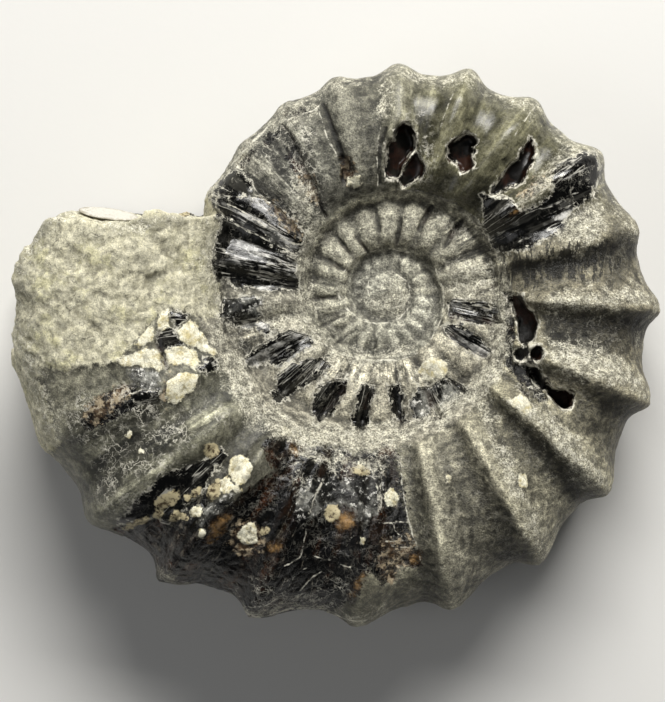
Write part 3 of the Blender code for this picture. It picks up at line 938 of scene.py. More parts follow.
def label_frame():
    """Where the label's middle is, measured from the pole, and how it is tilted."""
    swing = Matrix.Rotation(math.radians(LABEL_SWING_DEG), 4, "Z")
    lean = Matrix.Rotation(math.radians(-LABEL_LEAN_DEG), 4, "X")
    return Matrix.Translation(LABEL_AT) @ swing @ lean


def turn_of(points):
    """The turn of each point, measured from the pole, on the whorl that it belongs to."""
    heading = np.degrees(np.arctan2(-points[:, 1], points[:, 0])) % 360.0
    from_pole = np.hypot(points[:, 0], points[:, 1])
    found = heading + TURN_AT_POLE
    for whole_turns in (-720.0, -360.0, 0.0, 360.0):
        turn = heading + whole_turns
        beyond = (from_pole > WHORL_MARGIN * outer_radius(turn)) & (turn + 360.0 < LAST_TURN + 5.0)
        found = np.where(beyond, np.maximum(found, turn + 360.0), found)
    return found


def seen_from_above(points):
    """Where the camera sees points that are measured from the pole, in its pixels."""
    lift = (CAMERA_HEIGHT - FOCUS_HEIGHT) / (CAMERA_HEIGHT - points[:, 2])
    axis = (np.array(PICTURE) / 2 - POLE_PIXEL) * PIXEL * (1, -1)
    across = (points[:, 0] - axis[0]) * lift / PIXEL
    up = (points[:, 1] - axis[1]) * lift / PIXEL
    return np.stack([PICTURE[0] / 2 + across, PICTURE[1] / 2 - up], axis=1)


def seen_from_below(points):
    """The pixels that the underside takes its features from, moved along the spiral."""
    turn = math.radians(UNDERSIDE_SHIFT_TURNS)
    shrink = GROWTH_PER_TURN ** (-UNDERSIDE_SHIFT_TURNS / 360.0)
    plan = points[:, :2] * (1, -1) / PIXEL * shrink
    turned = plan @ np.array(((math.cos(turn), -math.sin(turn)), (math.sin(turn), math.cos(turn))))
    return turned + POLE_PIXEL


def weathered(mesh):
    """The same infill lumps, label facet and floor as the solid, with hollows of their true outline."""
    points, outward = positions(mesh), normals(mesh)
    turn = turn_of(points)
    infill = smooth_step(*INFILL_TURNS, turn)
    raised = infill * INFILL_LUMP * lumps(points, INFILL_LUMP_SIZE, 4)
    raised += ALL_OVER_LUMP * lumps(points, ALL_OVER_LUMP_SIZE, 3)
    moved = points + outward * raised[:, None] * MM
    at = seen_from_above(points)
    ragged = 1.6 * grain(points, 1.6, 3, 2)
    for outline, depth in DEEP_HOLLOWS:
        share = smooth_step(*HOLLOW_EDGE, outline(at) + ragged) * (outward[:, 2] > 0)
        moved[:, 2] -= share * depth * MM
    local = (moved - LABEL_AT) @ np.array(label_frame().to_3x3())
    reach = np.hypot(local[:, 0] / LABEL_SIZE[0], local[:, 1] / LABEL_SIZE[1]) * 2 / LABEL_FACET
    flat = smooth_step(FACET_BLEND, 1.0, reach) * (np.abs(local[:, 2]) < FACET_DEPTH)
    local[:, 2] *= 1.0 - flat
    moved = local @ np.array(label_frame().to_3x3()).T + LABEL_AT
    moved[:, 2] = np.maximum(moved[:, 2], 0.0)
    move_vertices(mesh, moved)


def layer_distances(points, outward):
    """How far inside each kind of feature every vertex lies, in pixels: {name: distances}."""
    above = wandered(seen_from_above(points), points)
    below = wandered(seen_from_below(points), points)
    turn = turn_of(points)
    height = (points[:, 2] - mid_height(points[:, 0], points[:, 1])) / MM
    wander = 3.0 * grain(points, 9.0, 11, 2)
    upper = smooth_step(*UPPER_SIDE, height + wander)
    layers = {
        "shell": SHELL,
        "brown": BROWN,
        "cream": CREAM,
        "tan": TAN,
        "amber": AMBER,
        "rust": RUST,
        "glassy": GLASSY,
        "painted_highlight": PAINTED_HIGHLIGHTS,
        "web": WEB,
        "suture": SUTURE,
        "dust": DUST_AND_PAINTED_LIGHT,
        "line": [stroke(*line) for line in LINES],
        "groove": [outline for outline, _ in GROOVES],
        "hollow": [outline for outline, _ in DEEP_HOLLOWS],
    }
    found = {}
    for name, features in layers.items():
        on_top = union(features, above)
        under = np.full(len(points), FAR) if name == "hollow" else union(features, below)
        found[name] = upper * on_top + (1.0 - upper) * under
    edge = INFILL_EDGE(above)
    by_turn = (turn - 0.5 * sum(INFILL_TURNS)) * PIXELS_PER_DEGREE
    beside = (turn > BESIDE_BREAK[0]) & (turn < BESIDE_BREAK[1])
    beyond = np.where((turn > INFILL_EDGE_ABOVE_TURN) | beside, edge, FAR)
    found["infill"] = np.clip(upper * beyond + (1.0 - upper) * by_turn, FAR, -FAR)
    return found


def groove_depth(points):
    """How deep the grooves are at each point, in mm."""
    at = seen_from_above(points)
    depth = np.zeros(len(points))
    for outline, deep in GROOVES:
        depth = np.maximum(depth, deep * smooth_step(*GROOVE_EDGE, outline(at)))
    return depth


def finely_carved(mesh):
    """Steps where shell has flaked off, cracks, crystals, grooves and the grain of each material."""
    points, outward = positions(mesh), normals(mesh)
    inside = layer_distances(points, outward)
    rough = 1.4 * grain(points, 1.3, 5, 3)

    def share(name, soft=1.2):
        return smooth_step(-soft, soft, inside[name] + rough)

    infill, shell, brown = share("infill"), share("shell"), share("brown")
    cream, glassy, tan = share("cream"), share("glassy"), share("tan")
    amber = share("amber")
    stone = (1.0 - infill) * (1.0 - shell) * (1.0 - brown)
    matt = 1.0 - 0.85 * np.interp(turn_of(points), *zip(*POLISH)) * (1.0 - infill)
    height = 0.10 * grain(points, 4.0, 21, 3) + 0.06 * grain(points, 1.2, 22, 2)
    height += stone * 0.16 * ridges(points, 2.6, 23)
    height *= matt
    flutes = grain(spiral_place(points) * (1.0, 1.0, 0.14), 1.5, 24, 3)
    height += (shell + 0.8 * brown) * FLUTE_HEIGHT * flutes
    hackly = 0.20 * ridges(points, 5.2, 31) - 0.15 * ridges(points, 2.7, 32)
    hackly += 0.14 * ridges(points, 1.5, 33) + 0.55 * ridges(points, 15.0, 34)
    height += infill * hackly
    height += shell * (SHELL_STEP + 0.12 * grain(points, 2.0, 41, 2))
    _, gap = cells(points + 0.6 * MM * rough[:, None], CRACK_SPACING, 51)
    step = BROWN_STEP - CRACK_DEPTH * smooth_step(*CRACK_WIDTHS, gap)
    height += brown * (1.0 - shell) * (step + 0.25 * grain(points, 2.6, 52, 3))
    height += cream * (CREAM_STEP + 0.30 * grain(points, 1.6, 61, 3))
    height += glassy * (GLASSY_STEP + 0.22 * grain(points, 3.0, 62, 2))
    height += tan * TAN_STEP + amber * AMBER_STEP
    height += LINE_HEIGHT * smooth_step(-1.0, 0.8, inside["line"] + 0.4 * rough)
    height -= groove_depth(points) * (points[:, 2] > MID_HEIGHT_AT_POLE * 0.9)
    moved = points + outward * (height * MM)[:, None]
    moved[:, 2] = np.maximum(moved[:, 2], 0.0)
    move_vertices(mesh, moved)


def neighbours(mesh):
    """The two ends of each edge, both ways round, and how many edges meet at each vertex."""
    edges = np.empty(len(mesh.edges) * 2, np.int32)
    mesh.edges.foreach_get("vertices", edges)
    a, b = edges.reshape(-1, 2).T
    ends, others = np.concatenate([a, b]), np.concatenate([b, a])
    degree = np.maximum(np.bincount(ends, minlength=len(mesh.vertices)), 1)
    return ends, others, degree


def spread(values, links, rounds):
    """Values averaged with their neighbours', again and again."""
    ends, others, degree = links
    for _ in range(rounds):
        mean = np.bincount(ends, values[others], len(values)) / degree
        values = 0.5 * values + 0.5 * mean
    return values


def hollowness(mesh):
    """How far each vertex lies below the surface round it, in mm, finely and broadly."""
    points, outward = positions(mesh), normals(mesh)
    links = neighbours(mesh)

    def below(rounds):
        smooth = np.stack([spread(points[:, i].copy(), links, rounds) for i in range(3)], axis=1)
        return ((smooth - points) * outward).sum(axis=1) / MM

    return below(FINE_ROUNDS), below(BROAD_ROUNDS)


def set_attribute(mesh, name, values, kind="FLOAT"):
    field = {"FLOAT": "value", "FLOAT_VECTOR": "vector", "FLOAT_COLOR": "color"}[kind]
    made = mesh.attributes.new(name, kind, "POINT")
    made.data.foreach_set(field, np.asarray(values, np.float32).ravel())


def rounded(points):
    """A line with its corners cut twice."""
    for _ in range(2):
        first = 0.75 * points[:-1] + 0.25 * points[1:]
        second = 0.25 * points[:-1] + 0.75 * points[1:]
        middle = np.stack([first, second], axis=1).reshape(-1, 2)
        points = np.concatenate([points[:1], middle[1:-1], points[-1:]])
    return points


def line_ways(at):
    """The way from each point to the nearest thin line, its length and half the line's width."""
    way = np.full((len(at), 3), 40.0)
    away = np.full(len(at), 40.0)
    half = np.zeros(len(at))
    for width, *points in LINES:
        points = rounded(np.array(points, float))
        close = np.where(near(at, points, 12.0))[0]
        spots = at[close]
        for start, end in zip(points[:-1], points[1:]):
            distance, share = segment_distance(spots, start, end)
            nearer = distance < away[close]
            chosen = close[nearer]
            foot = start + share[nearer][:, None] * (end - start)
            way[chosen, :2] = spots[nearer] - foot
            way[chosen, 2] = 0.0
            away[chosen] = distance[nearer]
            half[chosen] = width / 2
    return way, away, half


def tint_with_painted_light(points, at, turn):
    """The stone's colour: it changes along the spiral and is darker or paler in some places. It carries
    painted shade behind the ribs' crests, over the inner whorls' grooves and in the listed troughs, and
    painted highlights along crests.
    """
    turns, colours = zip(*STONE_TINTS)
    colours = np.array([linear(*colour) for colour in colours])
    wander = 9.0 * grain(points, 9.0, 81, 2)
    tint = np.stack([np.interp(turn + wander, turns, colours[:, i]) for i in range(3)], axis=1)
    # Painted shade over the inner whorls, deepest in their grooves and least on their crests.
    swell = (rib_relief(turn) / np.maximum(INNER_RIB_HEIGHT * outer_radius(turn), 1e-6)).clip(0.0, 1.0)
    inner = smooth_step(200.0, 180.0, turn)
    tint *= 1.0 + (inner * (0.22 * smooth_step(0.0, 0.6, swell) - 0.32))[:, None]
    # Painted shade on each rib's far side, just past its crest, and a painted highlight along the crest
    # itself.
    past = rib_phase(turn + 0.8 * grain(points, 3.0, 83, 2))
    behind = smooth_step(0.0, 0.05, past) * smooth_step(0.46, 0.12, past)
    crest = smooth_step(0.93, 0.98, past) * smooth_step(1.0, 0.985, past)
    tint *= 1.0 + (steepness(turn) * (0.35 * crest - 0.42 * behind))[:, None]
    # The listed places: the stone's own tones, painted shade and painted highlights.
    for feature, factor, soft in TONES_AND_PAINTED_LIGHT:
        ragged = 0.35 * soft * grain(points, 4.0, 82, 3)
        tint *= 1.0 + (factor - 1.0) * smooth_step(-soft, soft, feature(at) + ragged)[:, None]
    return tint


def marked(mesh):
    """Stores on each vertex what the material reads."""
    points, outward = positions(mesh), normals(mesh)
    for name, values in layer_distances(points, outward).items():
        set_attribute(mesh, name, values)
    at = seen_from_above(points)
    height = points[:, 2] - mid_height(points[:, 0], points[:, 1])
    lower = height < -4 * MM
    at[lower] = seen_from_below(points)[lower]
    wobble = np.stack([grain(points, 1.8, 95, 2), grain(points, 1.8, 96, 2)], axis=1)
    way, away, half = line_ways(at + 1.7 * wobble)
    set_attribute(mesh, "line_way", way, "FLOAT_VECTOR")
    set_attribute(mesh, "line_away", away)
    set_attribute(mesh, "line_half", half)
    fine, broad = hollowness(mesh)
    set_attribute(mesh, "crevice", fine)
    set_attribute(mesh, "cavity", broad)
    turn = turn_of(points)
    tint = tint_with_painted_light(points, at, turn)
    set_attribute(mesh, "tint", np.concatenate([tint, np.ones((len(tint), 1))], axis=1), "FLOAT_COLOR")
    turns, gloss = zip(*POLISH)
    set_attribute(mesh, "polish", np.interp(turn, turns, gloss))
    set_attribute(mesh, "polar", spiral_place(points) / REFERENCE_RADIUS, "FLOAT_VECTOR")


def face_means(mesh):
    """A function that gives each corner the mean of a value over the corners of its face."""
    vertex = np.empty(len(mesh.loops), np.int32)
    mesh.loops.foreach_get("vertex_index", vertex)
    sides = np.empty(len(mesh.polygons), np.int32)
    mesh.polygons.foreach_get("loop_total", sides)
    face = np.repeat(np.arange(len(sides)), sides)

    def mean(values):
        columns = [np.bincount(face, column[vertex], len(sides)) / sides for column in values.T]
        return np.stack(columns, axis=1)[face]

    return mean, vertex


def chart_of(middle, facing, turn):
    """The chart that each face belongs to, from its middle, the way it faces and its turn."""
    above_middle = middle[:, 2] - mid_height(middle[:, 0], middle[:, 1])
    steep = np.abs(facing[:, 2]) < STEEP_BELOW
    looks_up = np.where(steep, above_middle > 0, facing[:, 2] > 0)
    chart = np.where(looks_up, TOP_CHART, UNDER_CHART)
    from_pole = np.hypot(middle[:, 0], middle[:, 1])
    on_wall = steep & (from_pole > WALL_REACH * outer_radius(turn))
    half_way = 0.5 * (outer_radius(WALL_STARTS) + outer_radius(WALL_STARTS + 360.0))
    strip = np.where(outer_radius(turn) < half_way, EARLY_WALL, LATE_WALL)
    chart = np.where(on_wall, strip, chart)
    inside = steep | (np.abs(above_middle) < BREAK_HALF_DEPTH)
    at_break = (facing[:, 1] > BREAK_FACING) & (turn > BREAK_STARTS) & (middle[:, 1] > 0.0)
    return np.where(inside & at_break, BREAK_CHART, chart)


def bake_map(mesh):
    """Lays the whole surface out flat, for its colours to be baked on."""
    points, outward = positions(mesh), normals(mesh)
    links = neighbours(mesh)
    smooth = np.stack([spread(outward[:, i].copy(), links, MAP_SMOOTHING) for i in range(3)], axis=1)
    smooth /= np.maximum(np.linalg.norm(smooth, axis=1), 1e-9)[:, None]
    mean, vertex = face_means(mesh)
    middle, facing = mean(points), mean(smooth)
    heading = np.degrees(np.arctan2(-middle[:, 1], middle[:, 0]))
    turn = WALL_STARTS + (heading - WALL_STARTS) % 360.0
    chart = chart_of(middle, facing, turn)

    x, y, z = points[vertex].T
    own_heading = np.degrees(np.arctan2(-y, x))
    own_turn = turn + (own_heading - heading + 180.0) % 360.0 - 180.0
    along = outer_radius(own_turn) * 2.0 * math.pi / math.log(GROWTH_PER_TURN)
    choices = (chart == TOP_CHART, chart == UNDER_CHART, chart == BREAK_CHART)
    across_map = np.select(choices, (x, -x, -x), z) / MM
    up_map = np.select(choices, (y, y, z), along) / MM
    places = np.stack([across_map, up_map], axis=1)
    for number, (left, bottom, scale) in enumerate(MAP_PLACES):
        members = chart == number
        low = places[members].min(axis=0)
        places[members] = (places[members] - low) * scale + (left, bottom)
    layer = mesh.uv_layers.new(name="OFBake")
    layer.data.foreach_set("uv", (places / MAP_SIDE).astype(np.float32).ravel())


def thinned(obj, share_of_lower, total):
    """Fewer triangles: first on the side that faces the floor, then on the side that faces up."""
    outward = normals(obj.data)[:, 2]
    low = positions(obj.data)[:, 2] < MID_HEIGHT_AT_POLE
    lower = np.where(low & (outward < FACES_UP))[0]
    upper = np.where(~(low & (outward < FACES_UP)))[0]
    for name, members in (("lower", lower), ("upper", upper)):
        obj.vertex_groups.new(name=name).add(members.tolist(), 1.0, "REPLACE")
    first = 1.0 - len(lower) / len(obj.data.vertices) * (1.0 - share_of_lower)
    with_modifier(obj, "DECIMATE", ratio=first, vertex_group="lower", vertex_group_factor=0.0)
    after = sum(len(face.vertices) - 2 for face in obj.data.polygons)
    return with_modifier(
        obj, "DECIMATE", ratio=total / after, vertex_group="upper", vertex_group_factor=0.0
    )


def fossil():
    """The whole stone: first its form, then its fine surface, then what its material reads."""
    stone = joined("fossil", [*(whorl(*span) for span in WHORLS), nucleus(), core()])
    with_modifier(stone, "REMESH", mode="VOXEL", voxel_size=FIRST_VOXEL)
    weathered(stone.data)
    with_modifier(stone, "REMESH", mode="VOXEL", voxel_size=FINE_VOXEL)
    finely_carved(stone.data)
    thinned(stone, SHARE_KEPT_BELOW, TRIANGLES)
    marked(stone.data)
    bake_map(stone.data)
    placed = positions(stone.data)
    placed[:, :2] += POLE
    low, high = (np.array(corner) for corner in CAD_BOX)
    move_vertices(stone.data, placed.clip(low, high))
    stone.data.shade_smooth()
    return stone


# ---------------------------------------------------------------- materials


def linear(*channels):
    """A colour as a picture shows it, from 0 to 255, made linear."""
    shares = [channel / 255 for channel in channels]
    return tuple(s / 12.92 if s < 0.04045 else ((s + 0.055) / 1.055) ** 2.4 for s in shares)


class Nodes:
    """A short way to write the node tree of a material."""

    def __init__(self, name):
        self.material = bpy.data.materials.new(name)
        self.material.use_nodes = True
        self.tree = self.material.node_tree
        self.tree.nodes.clear()

    def feed(self, socket, value):
        if isinstance(value, bpy.types.NodeSocket):
            self.tree.links.new(value, socket)
        elif isinstance(value, tuple) and socket.type == "RGBA":
            socket.default_value = (*value, 1.0)
        else:
            socket.default_value = value

    def add(self, kind, inputs=None, **settings):
        node = self.tree.nodes.new("ShaderNode" + kind)
        for key, value in settings.items():
            setattr(node, key, value)
        for key, value in (inputs or {}).items():
            self.feed(node.inputs[key], value)
        return node

    def number(self, operation, *values):
        return self.add("Math", dict(enumerate(values)), operation=operation).outputs[0]

    def plus(self, first, second):
        return self.number("ADD", first, second)

    def less(self, first, second):
        return self.number("SUBTRACT", first, second)

    def most(self, first, second):
        return self.number("MAXIMUM", first, second)

    def both(self, first, second, *more):
        """The product of two or more masks."""
        product = self.number("MULTIPLY", first, second)
        for value in more:
            product = self.number("MULTIPLY", product, value)
        return product

    def stretched(self, vector, factors):
        return self.add("VectorMath", {0: vector, 1: factors}, operation="MULTIPLY").outputs[0]

    def place_in_mm(self):
        place = self.add("TexCoord").outputs["Object"]
        return self.stretched(place, (1000.0, 1000.0, 1000.0))

    def ramp(self, value, low, high, to_low=0.0, to_high=1.0):
        """Smoothly from one value to another while the input goes from low to high."""
        node = self.add("MapRange", {"Value": value}, interpolation_type="SMOOTHSTEP")
        for socket, setting in zip(node.inputs[1:5], (low, high, to_low, to_high)):
            self.feed(socket, setting)
        return node.outputs[0]

    def mixed(self, share, first, second):
        node = self.add("Mix", data_type="RGBA")
        for index, value in ((0, share), (6, first), (7, second)):
            self.feed(node.inputs[index], value)
        return node.outputs[2]

    def between(self, share, first, second):
        node = self.add("Mix", data_type="FLOAT")
        for index, value in ((0, share), (2, first), (3, second)):
            self.feed(node.inputs[index], value)
        return node.outputs[0]

    def shaded(self, colour, pattern, low, high, dark, bright, where=None):
        """The colour times a factor that follows a pattern, all over or where a mask is 1."""
        factor = self.ramp(pattern, low, high, dark, bright)
        if where is not None:
            factor = self.between(where, 1.0, factor)
        return self.add("VectorMath", {0: colour, "Scale": factor}, operation="SCALE").outputs[0]

    def noise(self, vector, size, detail=4.0, keep=0.6):
        """Noise with features of about a size, in the units of the vector."""
        settings = {"Vector": vector, "Scale": 1.0 / size, "Detail": detail, "Roughness": keep}
        return self.add("TexNoise", settings, noise_type="FBM").outputs[0]

    def thread(self, vector, size, width, detail=2.0):
        """Thin winding lines, where a noise crosses its middle value."""
        off = self.number("ABSOLUTE", self.less(self.noise(vector, size, detail, 0.5), 0.5))
        return self.ramp(off, 0.0, width, 1.0, 0.0)

    def cracks(self, vector, size):
        """How far each place is from the edge of its cell, in cell sizes."""
        settings = {"Vector": vector, "Scale": 1.0 / size}
        return self.add("TexVoronoi", settings, feature="DISTANCE_TO_EDGE").outputs[0]

    def attribute(self, name, output="Fac"):
        return self.add("Attribute", attribute_name=name).outputs[output]


def bumped(nodes, height, distance):
    """A normal tilted by a pattern, as if the pattern were as high as a distance in metres."""
    return nodes.add("Bump", {"Height": height, "Distance": distance, "Strength": 1.0}).outputs[0]


def finished(nodes, colour, roughness, normal):
    """Ends the node tree with the shader, and gives back the material."""
    shader = nodes.add("BsdfPrincipled", {"Base Color": colour, "Roughness": roughness})
    shader.inputs["Specular IOR Level"].default_value = 0.38
    nodes.feed(shader.inputs["Normal"], normal)
    out = nodes.add("OutputMaterial")
    nodes.tree.links.new(shader.outputs[0], out.inputs[0])
    return nodes.material


class Surface(Nodes):
    """The fossil's material, with the patterns and masks that its colours share."""

    def __init__(self, name):
        super().__init__(name)
        place = self.place_in_mm()
        sway = self.add("TexNoise", {"Vector": place, "Scale": 0.35, "Detail": 2.0}).outputs["Color"]
        moved = {0: sway, 1: (5.0, 5.0, 5.0), 2: place}
        warped = self.add("VectorMath", moved, operation="MULTIPLY_ADD").outputs[0]
        polar = self.attribute("polar", "Vector")
        along_ribs = self.stretched(polar, (1.0, 1.0, 0.13))
        self.streaks = self.noise(along_ribs, 0.022, 4, 0.62)
        self.bold = self.noise(self.stretched(polar, (1.0, 1.0, 0.17)), 0.062, 4, 0.55)
        self.ragged = self.noise(place, 1.5, 5, 0.72)
        self.speck = self.noise(place, 0.42, 2, 0.8)
        self.mottle = self.noise(warped, 7.0, 5, 0.62)
        self.blotch = self.noise(place, 2.4, 5, 0.7)
        self.fringe = self.noise(self.stretched(place, (1.0, 0.20, 1.0)), 1.25, 4, 0.72)
        self.wisps = self.thread(warped, 4.4, 0.022)
        self.fine = self.thread(place, 2.2, 0.030, 3.0)
        self.hairs = self.thread(along_ribs, 0.060, 0.022, 3.0)
        self.crack = self.ramp(self.cracks(warped, 3.4), 0.0, 0.035, 1.0, 0.0)
        self.crevice = self.attribute("crevice")
        self.polish = self.attribute("polish")
        self.contrast = self.between(self.polish, 1.0, 0.40)
        self.web = self.layer("web", 8.0, 6)
        self.on_shell = self.ramp(self.attribute("shell"), -2.0, 2.0)

    def wandering(self, name, noise, reach):
        """How far inside a layer each place is, give or take a number of pixels."""
        off = self.both(self.less(noise, 0.5), reach * 4.0)
        return self.plus(self.attribute(name), off)

    def layer(self, name, soft, rag):
        """Where a layer lies. Its edge is soft and ragged by numbers of pixels."""
        return self.ramp(self.wandering(name, self.ragged, rag), -soft, soft)

    def rim(self, name, reach, rag):
        """A pale broken edge, just outside a layer."""
        inside = self.wandering(name, self.ragged, rag)
        outer, inner = self.ramp(inside, -reach, -reach * 0.4), self.ramp(inside, 0.2, 1.0, 1.0, 0.0)
        return self.both(outer, inner, self.ramp(self.blotch, 0.42, 0.54))


def bare_stone(s):
    """Its tint and sugary grains, with painted highlights along streaks where it is polished, painted
    shade in its crevices and hollows, and paler ridges.
    """
    colour = s.attribute("tint", "Color")
    # Painted highlights: paler streaks where the stone is polished.
    painted_polish_gloss = s.both(s.streaks, s.ramp(s.polish, 0.2, 0.8))
    for shade in (
        (s.speck, 0.30, 0.70, 0.36, 1.64, s.contrast),
        (s.mottle, 0.36, 0.64, 0.84, 1.16),
        (s.ragged, 0.36, 0.64, 0.60, 1.38, s.contrast),
        (s.fine, 0.0, 1.0, 1.10, 0.72, s.contrast),
        (s.bold, 0.42, 0.58, 0.36, 1.46, s.web),
        (s.streaks, 0.38, 0.60, 0.60, 1.36, s.web),
        (s.blotch, 0.36, 0.62, 0.74, 1.22),
        (painted_polish_gloss, 0.44, 0.66, 0.94, 1.6),
        # Painted shade in the fine crevices and the broad hollows; the ridges come out paler.
        (s.crevice, -0.10, 0.10, 1.20, 0.42),
        (s.attribute("cavity"), -0.9, 1.3, 1.14, 0.60),
    ):
        colour = s.shaded(colour, *shade)
    return colour


def siltstone(s):
    """The infill: khaki, with fine dark cracks, paler on its ridges and with painted shade in its
    crevices.
    """
    colour = s.mixed(s.ramp(s.blotch, 0.34, 0.66), linear(190, 185, 159), linear(220, 215, 190))
    colour = s.mixed(s.ramp(s.mottle, 0.50, 0.64, 0.0, 0.55), colour, linear(205, 200, 154))
    colour = s.shaded(colour, s.speck, 0.32, 0.68, 0.74, 1.20)
    cracked = s.both(s.most(s.wisps, s.both(s.fine, 0.6)), s.ramp(s.ragged, 0.40, 0.56))
    colour = s.shaded(colour, cracked, 0.0, 1.0, 1.0, 0.42)
    # Painted shade in the crevices, paler on the ridges.
    return s.shaded(colour, s.crevice, -0.10, 0.12, 1.14, 0.60)


def brown_shell(s):
    """Nearly black, brown only where light gets in, with a few pale hairs."""
    colour = s.mixed(s.ramp(s.bold, 0.47, 0.62), linear(2, 1.6, 1.2), linear(34, 22, 13))
    lit = s.both(s.ramp(s.mottle, 0.50, 0.60), s.ramp(s.bold, 0.46, 0.56), 0.9)
    colour = s.mixed(lit, colour, linear(58, 33, 16))
    colour = s.shaded(colour, s.blotch, 0.38, 0.60, 0.22, 1.30)
    hairs = s.both(s.hairs, s.ramp(s.blotch, 0.50, 0.62), 0.45)
    return s.mixed(hairs, colour, linear(150, 142, 126))


def black_shell(s):
    """Black, with painted highlights: white streaks along the ribs."""
    colour = s.mixed(s.ramp(s.bold, 0.50, 0.64), linear(4, 4, 3), linear(50, 49, 45))
    # Painted highlights: grey to white glints in streaks, inside the highlight outlines.
    painted_glint = s.most(s.ramp(s.bold, 0.53, 0.60), s.both(s.ramp(s.streaks, 0.55, 0.61), 0.7))
    bright = s.mixed(s.ramp(s.blotch, 0.40, 0.60), linear(96, 96, 93), linear(226, 224, 218))
    colour = s.mixed(s.both(painted_glint, s.layer("painted_highlight", 6.0, 5), 0.9), colour, bright)
    hairs = s.both(s.hairs, s.ramp(s.mottle, 0.44, 0.56), 0.75)
    return s.mixed(hairs, colour, linear(204, 201, 190))


def glassy_calcite(s):
    """Smoky grey with white flaws."""
    colour = s.mixed(s.ramp(s.mottle, 0.44, 0.60), linear(30, 30, 28), linear(128, 128, 122))
    colour = s.shaded(colour, s.blotch, 0.40, 0.60, 0.6, 1.3)
    return s.mixed(s.ramp(s.ragged, 0.56, 0.64), colour, linear(226, 224, 216))


def amber_calcite(s):
    """Honey-brown in the middle, where light gets through, and dark at its edge."""
    glow = s.ramp(s.wandering("amber", s.blotch, 6), -1.0, 10.0)
    colour = s.mixed(glow, linear(34, 22, 12), linear(168, 132, 84))
    return s.shaded(colour, s.ragged, 0.38, 0.60, 0.55, 1.25)


def cream_calcite(s):
    """Nearly white and sugary, with a few tan veins and painted shade in its crevices."""
    colour = s.mixed(s.ramp(s.blotch, 0.34, 0.56), linear(206, 193, 146), linear(248, 244, 220))
    colour = s.shaded(colour, s.speck, 0.34, 0.66, 0.80, 1.10)
    veins = s.both(s.most(s.crack, s.both(s.fine, 0.8)), 0.55)
    colour = s.mixed(veins, colour, linear(150, 138, 100))
    # Painted shade in the crevices.
    return s.shaded(colour, s.crevice, -0.05, 0.14, 1.05, 0.55)


def tan_crust(s):
    """Brown in its pores, sandy outside."""
    return s.mixed(s.ramp(s.ragged, 0.40, 0.52), linear(70, 56, 38), linear(192, 180, 144))


def rust(s):
    """Dark brown crumbs with paler ones between them."""
    colour = s.mixed(s.ramp(s.blotch, 0.44, 0.62), linear(22, 15, 10), linear(92, 72, 50))
    return s.mixed(s.ramp(s.ragged, 0.50, 0.60), colour, linear(176, 160, 132))


def dust(s):
    """Pale sediment, grainy and uneven; it also paints the light on the infill's top edge."""
    colour = s.mixed(s.ramp(s.speck, 0.32, 0.68), linear(98, 94, 78), linear(232, 228, 208))
    colour = s.shaded(colour, s.ragged, 0.38, 0.62, 0.50, 1.24)
    return s.shaded(colour, s.blotch, 0.38, 0.60, 0.70, 1.16)


def where_dust_and_lit_edge(s):
    """In and round the outlines of the dust and of the painted light along the infill's top edge, with
    less of it on black shell.
    """
    inside = s.plus(s.wandering("dust", s.speck, 6), s.both(s.less(s.blotch, 0.5), 36.0))
    inside = s.plus(inside, s.both(s.less(s.mottle, 0.5), 30.0))
    inside = s.less(inside, s.both(s.on_shell, 6.0))
    return s.both(s.ramp(inside, -5.0, 10.0), 0.82)


def strands(s):
    """Pale threads of broken shell: thick in the web's outlines, few elsewhere."""
    broken = s.most(s.most(s.wisps, s.both(s.crack, 0.7)), s.both(s.fine, 0.85))
    broken = s.both(broken, s.ramp(s.mottle, 0.40, 0.56), s.ramp(s.ragged, 0.38, 0.52))
    found = s.both(broken, s.plus(s.both(s.web, 0.80), s.both(s.contrast, 0.20)))
    return s.both(found, s.between(s.on_shell, 1.0, s.ramp(s.blotch, 0.46, 0.58, 0.12, 0.9)))


def thin_lines(s):
    """The single lines whose ways are stored on the vertices, with broken, uneven edges."""
    away = s.add("VectorMath", {0: s.attribute("line_way", "Vector")}, operation="LENGTH")
    off = s.less(away.outputs["Value"], s.attribute("line_half"))
    off = s.plus(off, s.both(s.less(s.ragged, 0.5), 5.0))
    close = s.ramp(s.attribute("line_away"), 2.6, 3.4, 1.0, 0.0)
    return s.both(s.ramp(off, -0.5, 0.4, 1.0, 0.0), close, s.ramp(s.blotch, 0.42, 0.54, 0.0, 0.9))


